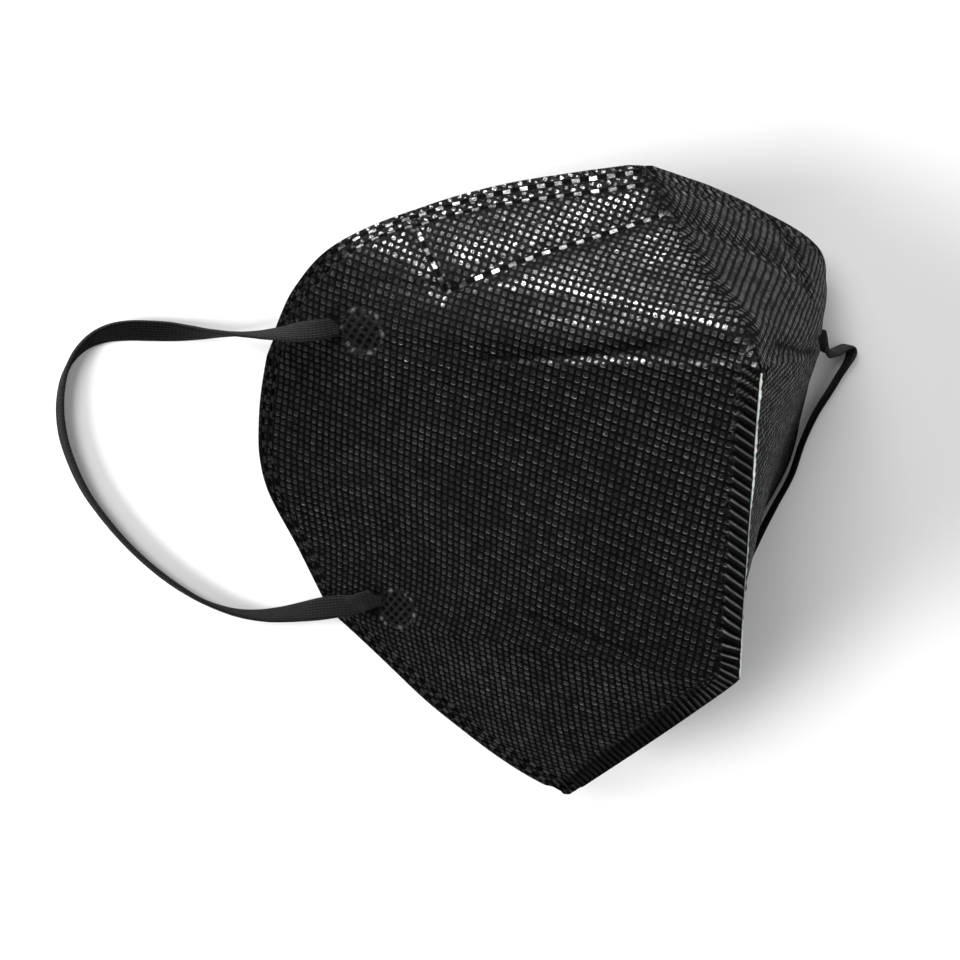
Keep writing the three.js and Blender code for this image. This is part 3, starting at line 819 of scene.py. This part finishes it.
def weld_inward(side, back, up):
    """The direction into the cloth at an ear loop's weld."""
    places = bend(np.array([back, back + 1.0, back]), np.array([up, up, up + 1.0]), side)
    normal = unit(np.cross(places[1] - places[0], places[2] - places[0]))
    return normal * (-side if normal[0] > 0 else side)


def squared(values, power):
    """A sine or cosine with a power below 1, which turns a round outline into a squarer one."""
    return np.sign(values) * np.abs(values) ** power


def mesh_strap(name, side, route, width, thickness):
    """A flat ribbed strap along its route, and its middle line in metres with its length. Its
    ends narrow and go down into the hollows at its welds."""
    line, length = smooth_route(route, STRAP_STEPS)
    middle = line[:, :3] / MM
    run = np.linspace(0.0, length / MM, len(line))
    dips = near_ends(run, STRAP_DIP_RUN)
    for share, weld in zip(dips, LOOP_WELDS):
        middle = middle + STRAP_DIP * (share**2)[:, None] * weld_inward(side, *weld)
    slimness = (1.0 - STRAP_SLIMMER * np.maximum(*near_ends(run, STRAP_SLIM_RUN)))[:, None]
    ahead = unit(np.gradient(middle, axis=0))
    sideways = unit(np.cross(ahead, [0.0, 0.0, 1.0]))
    lean = np.radians(line[:, 3])[:, None]
    across = np.cross(sideways, ahead) * np.cos(lean) + sideways * np.sin(lean)
    through = np.cross(ahead, across)
    turn = np.linspace(0.0, 2 * math.pi, STRAP_AROUND, endpoint=False)
    u = squared(np.cos(turn), STRAP_SIDE_POWER) * width / 2
    v = squared(np.sin(turn), STRAP_FACE_POWER) * thickness / 2
    v = v * (1.0 + STRAP_RIB_HEIGHT * np.cos(2 * math.pi * u / STRAP_RIB_PITCH))
    rings = middle[:, None, :] + across[:, None, :] * (u[None, :] * slimness)[..., None]
    rings = rings + through[:, None, :] * v[None, :, None]
    blank = np.stack(np.broadcast_arrays(run[:, None], u[None, :]), -1)
    # Painted shade on the strap's ends, where they go down into the hollows.
    dark = STRAP_END_SHADE * np.maximum(*dips)[:, None] ** 0.5
    nothing = np.zeros(rings.shape[:2])
    marks = {"press_and_painted_shade": vectors(nothing, nothing, nothing + dark)}
    piece = make_grid(name, rings, blank, marks, closed=True)
    middle = middle * MM
    return piece, middle, float(np.linalg.norm(np.diff(middle, axis=0), axis=1).sum())


# -------------------------------- Materials ---------------------------------


def put(tree, socket, value):
    """Sets a socket to a value, or links another socket to it."""
    if isinstance(value, bpy.types.NodeSocket):
        tree.links.new(value, socket)
    else:
        socket.default_value = value


def add_node(tree, kind, values=None, **settings):
    made = tree.nodes.new(kind)
    for key, value in settings.items():
        setattr(made, key, value)
    for key, value in (values or {}).items():
        put(tree, made.inputs[key], value)
    return made


def calc(tree, operation, *values, kind="ShaderNodeMath"):
    made = add_node(tree, kind, operation=operation)
    for socket, value in zip(made.inputs, values):
        put(tree, socket, value)
    return made.outputs["Value" if operation == "DOT_PRODUCT" else 0]


def vector_calc(tree, operation, *values):
    return calc(tree, operation, *values, kind="ShaderNodeVectorMath")


def times(tree, *values):
    return functools.reduce(lambda first, second: calc(tree, "MULTIPLY", first, second), values)


def most(tree, *values):
    return functools.reduce(lambda first, second: calc(tree, "MAXIMUM", first, second), values)


def rest_of_one(tree, value):
    return calc(tree, "SUBTRACT", 1.0, value)


def ramp(tree, value, low, high, to_low=0.0, to_high=1.0):
    """A smooth step of a value from low to high."""
    values = {"Value": value, "From Min": low, "From Max": high, "To Min": to_low, "To Max": to_high}
    made = add_node(tree, "ShaderNodeMapRange", values, interpolation_type="SMOOTHSTEP")
    return made.outputs["Result"]


def blend(tree, share, low, high):
    """A colour between two others."""
    made = add_node(tree, "ShaderNodeMix", data_type="RGBA")
    put(tree, made.inputs["Factor"], share)
    put(tree, made.inputs[6], low)
    put(tree, made.inputs[7], high)
    return made.outputs[2]


def opaque(colour):
    return (*colour, 1.0)


def grey(level):
    return (level, level, level, 1.0)


def blank_place(tree):
    """The place on the blank, in units of BLANK_UNIT."""
    return add_node(tree, "ShaderNodeUVMap", uv_map="blank").outputs[0]


def split(tree, vector):
    """The three parts of a vector."""
    return add_node(tree, "ShaderNodeSeparateXYZ", {"Vector": vector}).outputs


def mark(tree, name):
    """The three parts of one of a mesh's marks."""
    return split(tree, add_node(tree, "ShaderNodeAttribute", attribute_name=name).outputs["Vector"])


def noise(tree, place, scale, detail=2.0):
    values = {"Vector": place, "Scale": scale, "Detail": detail}
    return add_node(tree, "ShaderNodeTexNoise", values).outputs


def chance_of(tree, dimensions, socket, value):
    """A chance value from 0 to 1 for each whole number or pair of them."""
    made = add_node(tree, "ShaderNodeTexWhiteNoise", {socket: value}, noise_dimensions=dimensions)
    return made.outputs["Value"]


def new_group(name, **inputs):
    """A shader node group, and the sockets that it is given."""
    tree = bpy.data.node_groups.new(name, "ShaderNodeTree")
    for label, value in inputs.items():
        made = tree.interface.new_socket(label, in_out="INPUT", socket_type="NodeSocketFloat")
        made.default_value = value
    return tree, tree.nodes.new("NodeGroupInput").outputs


def give_results(tree, **results):
    """Makes a group's outputs."""
    for label in results:
        tree.interface.new_socket(label, in_out="OUTPUT", socket_type="NodeSocketFloat")
    add_node(tree, "NodeGroupOutput", results)


def use_group(tree, name, **values):
    return add_node(tree, "ShaderNodeGroup", values, node_tree=bpy.data.node_groups[name]).outputs


def group_of_bonds():
    """The pressed bonds of a spun fabric: where they are, a chance value for each, how they
    shine, painted highlights along their lower edges, and a mottle for the cloth round them."""
    tree, given = new_group("pressed_bonds", Size=0.42)
    place = blank_place(tree)
    wobble = vector_calc(tree, "SUBTRACT", noise(tree, place, 30.0)["Color"], (0.5, 0.5, 0.5))
    moved = vector_calc(tree, "MULTIPLY_ADD", wobble, (0.004, 0.004, 0.0), place)
    area = BOND_STEP_A[0] * BOND_STEP_B[1] - BOND_STEP_B[0] * BOND_STEP_A[1]
    to_steps = BLANK_UNIT / area
    axes = [
        (BOND_STEP_B[1] * to_steps, -BOND_STEP_B[0] * to_steps, 0.0),
        (-BOND_STEP_A[1] * to_steps, BOND_STEP_A[0] * to_steps, 0.0),
    ]
    steps = [vector_calc(tree, "DOT_PRODUCT", moved, axis) for axis in axes]
    cells = [calc(tree, "ROUND", step) for step in steps]
    offsets = [calc(tree, "SUBTRACT", step, cell) for step, cell in zip(steps, cells)]
    sizes = [calc(tree, "ABSOLUTE", offset) for offset in offsets]
    powers = [calc(tree, "POWER", size, BOND_SQUARENESS) for size in sizes]
    distance = calc(tree, "POWER", calc(tree, "ADD", *powers), 1 / BOND_SQUARENESS)
    cell = add_node(tree, "ShaderNodeCombineXYZ", {"X": cells[0], "Y": cells[1]}).outputs[0]
    chance = chance_of(tree, "2D", "Vector", cell)
    bond_size = calc(tree, "MULTIPLY_ADD", chance, 0.06, given["Size"])
    edge = calc(tree, "SUBTRACT", bond_size, distance)
    fine = noise(tree, place, 260.0, 3.0)["Fac"]
    from_edge = calc(tree, "ABSOLUTE", calc(tree, "SUBTRACT", edge, 0.03))
    # Painted highlight: a thin pale glint along the lower edge of each bond, by chance.
    lower_edge = times(tree, ramp(tree, from_edge, 0.055, 0.0), ramp(tree, offsets[1], 0.08, 0.20))
    sharp = ramp(tree, calc(tree, "ADD", fine, chance), 0.70, 1.45)
    uneven = ramp(tree, fine, 0.34, 0.52, 0.25, 1.0)
    give_results(
        tree,
        Bonds=ramp(tree, edge, -0.03, 0.07),
        Chance=chance,
        Shine=times(tree, ramp(tree, edge, -0.03, 0.03), uneven),
        Lips=times(tree, lower_edge, sharp),
        Mottle=noise(tree, place, 75.0)["Fac"],
    )


def group_of_dashes():
    """The pressed dashes of a weld line, and the pits between them. Along and Across are in
    millimetres."""
    tree, given = new_group("weld_dashes", Along=0.0, Across=9.0)
    turns = times(tree, given["Along"], 1.0 / DASH_PITCH)
    number = calc(tree, "ROUND", turns)
    place = times(tree, calc(tree, "ABSOLUTE", calc(tree, "SUBTRACT", turns, number)), DASH_PITCH)
    across = calc(tree, "ABSOLUTE", given["Across"])
    end, side = DASH_LENGTH / 2, DASH_WIDTH / 2
    inside_ends = ramp(tree, place, end + 0.10, end - 0.06)
    inside_sides = ramp(tree, across, side + 0.08, side - 0.08)
    between = ramp(tree, place, end - 0.05, end + 0.12)
    give_results(
        tree,
        Dashes=times(tree, inside_ends, inside_sides),
        Pits=times(tree, between, ramp(tree, across, 0.55, 0.30)),
        Chance=ramp(tree, chance_of(tree, "1D", "W", number), 0.0, 1.0, 0.55, 1.0),
    )


def group_of_strands():
    """Fine crossing fibres, 1 along the middle of a strand and 0 between strands, and a fuzz."""
    tree, given = new_group("crossing_strands", Fineness=1.0)
    place = blank_place(tree)
    strands = []
    for turn, spacing in STRAND_TURNS:
        values = {"Vector": place, "Angle": turn}
        turned = add_node(tree, "ShaderNodeVectorRotate", values, rotation_type="Z_AXIS").outputs[0]
        stretched = vector_calc(tree, "MULTIPLY", turned, (spacing, spacing / STRAND_STRETCH, 1.0))
        found = noise(tree, stretched, given["Fineness"])["Fac"]
        ridge = calc(tree, "ABSOLUTE", calc(tree, "MULTIPLY_ADD", found, 2.0, -1.0))
        strands.append(ramp(tree, ridge, 0.16, 0.0))
    give_results(tree, Strands=most(tree, *strands), Fuzz=noise(tree, place, 900.0)["Fac"])


def new_material(name):
    material = bpy.data.materials.new(name)
    material.use_nodes = True
    return material, material.node_tree


def set_surface(tree, values):
    """Sets or links the sockets of a material's shader."""
    surface = tree.nodes["Principled BSDF"]
    for key, value in values.items():
        put(tree, surface.inputs[key], value)


def bumps(tree, heights):
    """The normal after bumps in a chain, from (height, depth in metres) pairs."""
    normal = None
    for height, depth in heights:
        values = {"Height": height, "Distance": depth, "Strength": 1.0}
        if normal is not None:
            values["Normal"] = normal
        normal = add_node(tree, "ShaderNodeBump", values).outputs["Normal"]
    return normal


def weld_dashes(tree):
    """The dashes and pits of the pocket's weld and of both rows along the rim."""
    dashes, pits = [], []
    for name, rows in (("pocket_weld", (0.0,)), ("rim_weld", RIM_WELD_ROWS)):
        along, across, _ = mark(tree, name)
        for row in rows:
            from_row = calc(tree, "SUBTRACT", across, row)
            drawn = use_group(tree, "weld_dashes", Along=along, Across=from_row)
            dashes.append(times(tree, drawn["Dashes"], drawn["Chance"]))
            pits.append(drawn["Pits"])
    return most(tree, *dashes), most(tree, *pits)


def shell_colour(tree, settings, bonds, strands, shine, bare, out_of_painted_shade):
    """Fibres over dark gaps, bonds and welds, painted highlights on the edges of bonds and ribs and
    round the loop welds, painted shade, and a colour darker towards the seam with paler patches.
    """
    uneven = ramp(tree, bonds["Mottle"], 0.35, 0.65, 0.35, 1.0)
    fibres = times(tree, strands["Strands"], uneven)
    colour = blend(tree, fibres, opaque(settings.gap_colour), opaque(settings.fibre_colour))
    colour = blend(tree, shine, colour, opaque(settings.bond_colour))
    place = blank_place(tree)
    back = split(tree, place)["X"]
    by_seam = times(tree, bare, ramp(tree, back, 0.75, 0.35, 0.35, 1.0))
    # Painted highlights: pale glints on the bonds' lower edges, on the seam's ribs and round the loop
    # welds.
    rib_edges = times(tree, mark(tree, "painted_glints")["X"], 0.7)
    painted_glints = most(tree, times(tree, bonds["Lips"], by_seam), rib_edges)
    colour = blend(tree, painted_glints, colour, opaque(settings.painted_glint_colour))
    patches = ramp(tree, noise(tree, place, 5.0, 1.0)["Fac"], 0.35, 0.6, 0.72, 1.0)
    paler = times(tree, ramp(tree, back, 0.15, 0.75, 0.58, 1.0), patches)
    # Painted shade: marked shade and weld pits take the colour to near black; it is also darker
    # towards the seam, with random paler patches.
    return blend(tree, times(tree, out_of_painted_shade, paler), grey(0.0002), colour)


def shell_gloss(tree, bonds, strands, dashes, shine, out_of_painted_shade):
    """How glossy the bonds and welds are, each by chance, with faint glints of the fibres."""
    chance = calc(tree, "MULTIPLY_ADD", bonds["Chance"], 0.5, 0.5)
    chance = most(tree, chance, ramp(tree, dashes, 0.0, 0.3))
    return most(tree, times(tree, shine, chance), times(tree, strands["Strands"], out_of_painted_shade, 0.08))


def shell_normal(tree, settings, bonds, strands, pits, shine, bare):
    """The bumps of the cloth, its bonds, the pits of its welds, its fibres and its fuzz."""
    rough = rest_of_one(tree, shine)
    dips = rest_of_one(tree, times(tree, bonds["Bonds"], bare))
    fuzz_share = calc(tree, "MULTIPLY_ADD", rough, 0.85, 0.15)
    return bumps(tree, [
        (bonds["Mottle"], 0.00013),
        (dips, settings.bond_depth),
        (rest_of_one(tree, pits), 0.0004),
        (times(tree, strands["Strands"], rough), 0.00006),
        (times(tree, strands["Fuzz"], fuzz_share), 0.00004),
    ])


def material_of_shell(name, settings, bond_size):
    """Black spun fabric: matt crossing fibres with smooth pressed bonds."""
    material, tree = new_material(name)
    bonds = use_group(tree, "pressed_bonds", Size=bond_size)
    strands = use_group(tree, "crossing_strands", Fineness=1.0)
    weld, bare, dark = mark(tree, "press_and_painted_shade")
    dashes, pits = weld_dashes(tree)
    # Painted shade from the marks and from the pits of the weld dashes darkens the colour and takes
    # away the gloss.
    out_of_painted_shade = rest_of_one(tree, most(tree, dark, times(tree, pits, 0.92)))
    shine = most(tree, times(tree, bonds["Shine"], bare), most(tree, weld, dashes))
    shine = times(tree, shine, out_of_painted_shade)
    normal = shell_normal(tree, settings, bonds, strands, pits, shine, bare)
    set_surface(tree, {
        "Base Color": shell_colour(tree, settings, bonds, strands, shine, bare, out_of_painted_shade),
        "Roughness": settings.ground_roughness,
        "Specular IOR Level": 0.02,
        "Coat Weight": shell_gloss(tree, bonds, strands, dashes, shine, out_of_painted_shade),
        "Coat Roughness": settings.bond_roughness,
        "Coat IOR": 1.5,
        "Normal": normal,
        "Coat Normal": normal,
    })
    return material


def material_of_filter():
    """White spun fibres with a soft glow."""
    material, tree = new_material("white_filter_fibres")
    strands = use_group(tree, "crossing_strands", Fineness=3.0)
    set_surface(tree, {
        "Base Color": blend(tree, strands["Fuzz"], (0.78, 0.78, 0.77, 1.0), (0.97, 0.97, 0.96, 1.0)),
        "Roughness": 0.9,
        "Subsurface Weight": 0.15,
        "Subsurface Scale": 0.0005,
        "Normal": bumps(tree, [(strands["Strands"], 0.00012)]),
    })
    return material


def material_of_strap(settings):
    """Black knitted elastic: fine ribs along it, with small stitches across them."""
    material, tree = new_material("black_knit_elastic")
    run, across, _ = split(tree, blank_place(tree))
    to_turns = BLANK_UNIT * 2 * math.pi
    across = times(tree, across, to_turns / settings.rib_pitch)
    ribs = calc(tree, "MULTIPLY_ADD", calc(tree, "COSINE", across), 0.5, 0.5)
    lean = times(tree, calc(tree, "ABSOLUTE", calc(tree, "SINE", across)), 1.2)
    turns = calc(tree, "MULTIPLY_ADD", run, to_turns / STITCH_PITCH, lean)
    stitches = calc(tree, "MULTIPLY_ADD", calc(tree, "SINE", turns), 0.5, 0.5)
    yarn = times(tree, ribs, calc(tree, "MULTIPLY_ADD", stitches, 0.6, 0.4))
    strands = use_group(tree, "crossing_strands", Fineness=1.5)
    colour = blend(tree, yarn, opaque(settings.strap_dark), opaque(settings.strap_light))
    set_surface(tree, {
        # Painted shade darkens the strap's ends.
        "Base Color": blend(tree, mark(tree, "press_and_painted_shade")["Z"], colour, grey(0.0006)),
        "Roughness": ramp(tree, yarn, 0.0, 1.0, 0.95, 0.7),
        "Sheen Weight": 0.05,
        "Sheen Roughness": 0.4,
        "Specular IOR Level": 0.12,
        "Normal": bumps(tree, [(yarn, 0.00010), (strands["Strands"], 0.00004)]),
    })
    return material


def material_of_floor():
    """A plain white table, which is dimmer where it is mirrored in the fabric."""
    material, tree = new_material("white_table")
    uneven = add_node(tree, "ShaderNodeTexNoise", {"Scale": 3.0, "Detail": 2.0}).outputs["Fac"]
    colour = blend(tree, uneven, (0.93, 0.93, 0.935, 1.0), (0.95, 0.95, 0.955, 1.0))
    place = tree.nodes.new("ShaderNodeNewGeometry").outputs["Position"]
    far_side = ramp(tree, split(tree, place)["X"], 0.0, 0.06)
    mirrored = tree.nodes.new("ShaderNodeLightPath").outputs["Is Glossy Ray"]
    set_surface(tree, {
        # Painted reflection: in reflections the table is dark grey left of x = 0 and mid grey from 6
        # cm right of it.
        "Base Color": blend(tree, mirrored, colour, blend(tree, far_side, grey(0.22), grey(0.66))),
        "Roughness": 0.9,
        "Specular IOR Level": 0.1,
    })
    return material


# --------------------------------- Settings ---------------------------------


class FabricSettings(bpy.types.PropertyGroup):
    """The black spun fabric of the body."""

    gap_colour: bpy.props.FloatVectorProperty(
        name="Gaps", description="Colour between the fibres and round each bond", subtype="COLOR",
        size=3, min=0.0, max=1.0, default=(0.0006, 0.0006, 0.00065),
    )
    fibre_colour: bpy.props.FloatVectorProperty(
        name="Fibres", description="Colour of the single fibres", subtype="COLOR",
        size=3, min=0.0, max=1.0, default=(0.0032, 0.0032, 0.0034),
    )
    bond_colour: bpy.props.FloatVectorProperty(
        name="Bonds", description="Colour of the pressed bonds", subtype="COLOR",
        size=3, min=0.0, max=1.0, default=(0.0075, 0.0075, 0.0078),
    )
    # Painted highlight: the colour of the pale glints on the bonds, the ribs and round the loop welds.
    painted_glint_colour: bpy.props.FloatVectorProperty(
        name="Lips", description="Colour of the thin lips round the bonds and ribs", subtype="COLOR",
        size=3, min=0.0, max=1.0, default=(0.15, 0.15, 0.152),
    )
    ground_roughness: bpy.props.FloatProperty(
        name="Ground Roughness", description="How matt the fibres are", subtype="FACTOR",
        min=0.0, max=1.0, default=0.72,
    )
    bond_roughness: bpy.props.FloatProperty(
        name="Bond Roughness", description="How matt the pressed bonds are", subtype="FACTOR",
        min=0.0, max=1.0, default=0.21,
    )
    bond_depth: bpy.props.FloatProperty(
        name="Bond Depth", description="How deep the bonds are pressed", unit="LENGTH",
        min=0.0, max=0.001, default=0.0002,
    )


class StrapSettings(bpy.types.PropertyGroup):
    """The elastic of the ear loops."""

    strap_width: bpy.props.FloatProperty(
        name="Width", description="Width of the elastic", unit="LENGTH",
        min=0.003, max=0.012, default=0.005,
    )
    strap_thickness: bpy.props.FloatProperty(
        name="Thickness", description="Thickness of the elastic", unit="LENGTH",
        min=0.0005, max=0.003, default=0.001,
    )
    rib_pitch: bpy.props.FloatProperty(
        name="Rib Pitch", description="Distance between ribs, in millimetres",
        min=0.2, max=2.0, default=0.62,
    )
    strap_dark: bpy.props.FloatVectorProperty(
        name="Dark Yarn", description="Colour between the ribs", subtype="COLOR",
        size=3, min=0.0, max=1.0, default=(0.0008, 0.0008, 0.00085),
    )
    strap_light: bpy.props.FloatVectorProperty(
        name="Light Yarn", description="Colour on the ribs", subtype="COLOR",
        size=3, min=0.0, max=1.0, default=(0.0095, 0.0095, 0.0098),
    )


class StageSettings(bpy.types.PropertyGroup):
    """The table, the lamps and the camera."""

    lens: bpy.props.FloatProperty(
        name="Lens", description="Focal length of the camera", subtype="DISTANCE_CAMERA",
        min=20.0, max=200.0, default=82.5,
    )
    key_power: bpy.props.FloatProperty(
        name="Key Lamps", description="Power of the two lamps at the left together", unit="POWER",
        min=0.0, max=500.0, default=37.0,
    )
    nose_power: bpy.props.FloatProperty(
        name="Nose Lamp", description="Power of the soft box beyond the nose", unit="POWER",
        min=0.0, max=500.0, default=72.0,
    )
    side_power: bpy.props.FloatProperty(
        name="Side Lamp", description="Power of the wide soft box beside it", unit="POWER",
        min=0.0, max=500.0, default=18.0,
    )
    surround: bpy.props.FloatProperty(
        name="Surround", description="Brightness of the white surround",
        min=0.0, max=5.0, default=0.40,
    )
    mirrored_surround: bpy.props.FloatProperty(
        name="Mirrored Surround", description="Brightness of the surround in reflections",
        min=0.0, max=5.0, default=0.15,
    )


# -------------------------------- Operators ---------------------------------


def dress(piece, material):
    piece.data.materials.clear()
    piece.data.materials.append(material)
    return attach(piece, "root")


class MASK_OT_stage(bpy.types.Operator):
    """Make the table, the lamps and the camera"""

    bl_idname = "mask.stage"
    bl_label = "Table, Lamps and Camera"

    def execute(self, context):
        settings = context.scene.mask_stage
        bpy.ops.mesh.primitive_plane_add(size=8.0, location=(0.0, 0.0, 0.0))
        floor = context.object
        floor.name = "table"
        floor.data.materials.append(material_of_floor())
        for name, power, share, place, sides, unseen_by in LAMPS:
            lamp = add_lamp(name, place, sides, getattr(settings, power) * share)
            setattr(lamp, unseen_by, False)
        context.scene.world = new_surround(settings)
        context.scene.view_settings.view_transform = "Standard"
        add_camera(context.scene, settings.lens)
        return {"FINISHED"}


def new_surround(settings):
    """A white surround, which is dimmer where it is mirrored in the fabric."""
    world = bpy.data.worlds.new("white_surround")
    world.use_nodes = True
    tree = world.node_tree
    mirrored = tree.nodes.new("ShaderNodeLightPath").outputs["Is Glossy Ray"]
    fall = settings.mirrored_surround - settings.surround
    strength = calc(tree, "MULTIPLY_ADD", mirrored, fall, settings.surround)
    put(tree, tree.nodes["Background"].inputs["Color"], grey(1.0))
    put(tree, tree.nodes["Background"].inputs["Strength"], strength)
    return world


def add_lamp(name, place, sides, power):
    """A soft box lamp that faces the mask."""
    lamp = bpy.data.lights.new(name, "AREA")
    lamp.shape = "RECTANGLE"
    lamp.size, lamp.size_y = sides
    lamp.energy = power
    holder = bpy.data.objects.new(name, lamp)
    holder.location = place
    holder.rotation_mode = "QUATERNION"
    holder.rotation_quaternion = (-holder.location).to_track_quat("-Z", "Y")
    bpy.context.scene.collection.objects.link(holder)
    return holder


def add_camera(scene, lens):
    """A camera above the left of the mask, turned a little about its own line of sight."""
    camera = bpy.data.cameras.new("camera")
    camera.lens = lens
    camera.sensor_width = 36.0
    camera.clip_start = 0.01
    holder = bpy.data.objects.new("camera", camera)
    turn = Matrix(CAMERA_AXES).transposed().to_quaternion().to_matrix().to_4x4()
    holder.matrix_world = Matrix.Translation(CAMERA_PLACE) @ turn
    scene.collection.objects.link(holder)
    scene.camera = holder


class MASK_OT_covers(bpy.types.Operator):
    """Make the pressed outer faces of both halves"""

    bl_idname = "mask.covers"
    bl_label = "Outer Faces"

    def execute(self, context):
        settings = context.scene.mask_fabric
        material = material_of_shell("black_spun_fabric", settings, OUTER_BOND_SIZE)
        for name, side, rows, columns in (("left_cover", -1, 376, 252), ("right_cover", 1, 376, 230)):
            piece = mesh_cover(name, side, rows, columns)
            dress(piece, material)
            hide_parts("mask_shell")
        return {"FINISHED"}


class MASK_OT_lining(bpy.types.Operator):
    """Make the inner face of both halves"""

    bl_idname = "mask.lining"
    bl_label = "Inner Face"

    def execute(self, context):
        settings = context.scene.mask_fabric
        piece = mesh_lining(rows=150, columns=60)
        material = material_of_shell("black_inner_fabric", settings, INNER_BOND_SIZE)
        dress(piece, material)
        return {"FINISHED"}


class MASK_OT_seam(bpy.types.Operator):
    """Make the welded front seam and the white layer at its cut edge"""

    bl_idname = "mask.seam"
    bl_label = "Front Seam"

    def execute(self, context):
        fin = mesh_seam_fin(rows=760, columns=22)
        dress(fin, bpy.data.materials["black_spun_fabric"])
        edge = mesh_filter_edge(steps=700, around=12)
        dress(edge, material_of_filter())
        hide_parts("seam_filter_edge")
        return {"FINISHED"}


class MASK_OT_ear_loops(bpy.types.Operator):
    """Make the two elastic ear loops"""

    bl_idname = "mask.ear_loops"
    bl_label = "Ear Loops"

    def execute(self, context):
        settings = context.scene.mask_straps
        material = material_of_strap(settings)
        width, thickness = settings.strap_width / MM, settings.strap_thickness / MM
        for side, route in (("left", LEFT_ROUTE), ("right", RIGHT_ROUTE)):
            sign = -1 if side == "left" else 1
            piece, line, length = mesh_strap(f"{side}_strap", sign, route, width, thickness)
            dress(piece, material)
            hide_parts(f"{side}_ear_loop")
        return {"FINISHED"}


class MASK_PT_panel(bpy.types.Panel):
    """The pieces and settings of the mask"""

    bl_idname = "MASK_PT_panel"
    bl_label = "Fold-Flat Mask"
    bl_space_type = "VIEW_3D"
    bl_region_type = "UI"
    bl_category = "Mask"

    def draw(self, context):
        for operator in OPERATORS:
            self.layout.operator(operator.bl_idname)
        for name, group in SETTINGS.items():
            settings = getattr(context.scene, name)
            box = self.layout.box()
            for key in group.__annotations__:
                box.prop(settings, key)


OPERATORS = (MASK_OT_stage, MASK_OT_ear_loops, MASK_OT_covers, MASK_OT_lining, MASK_OT_seam)
SETTINGS = {"mask_fabric": FabricSettings, "mask_straps": StrapSettings, "mask_stage": StageSettings}


def register():
    for group in SETTINGS.values():
        bpy.utils.register_class(group)
    for name, group in SETTINGS.items():
        setattr(bpy.types.Scene, name, bpy.props.PointerProperty(type=group))
    for operator in OPERATORS:
        bpy.utils.register_class(operator)
    bpy.utils.register_class(MASK_PT_panel)


def unregister():
    bpy.utils.unregister_class(MASK_PT_panel)
    for operator in reversed(OPERATORS):
        bpy.utils.unregister_class(operator)
    for name in SETTINGS:
        delattr(bpy.types.Scene, name)
    for group in SETTINGS.values():
        bpy.utils.unregister_class(group)


def main():
    register()
    group_of_bonds()
    group_of_strands()
    group_of_dashes()
    bpy.ops.mask.stage()
    bpy.ops.mask.ear_loops()
    bpy.ops.mask.covers()
    bpy.ops.mask.lining()
    bpy.ops.mask.seam()


if __name__ == "__main__":
    main()
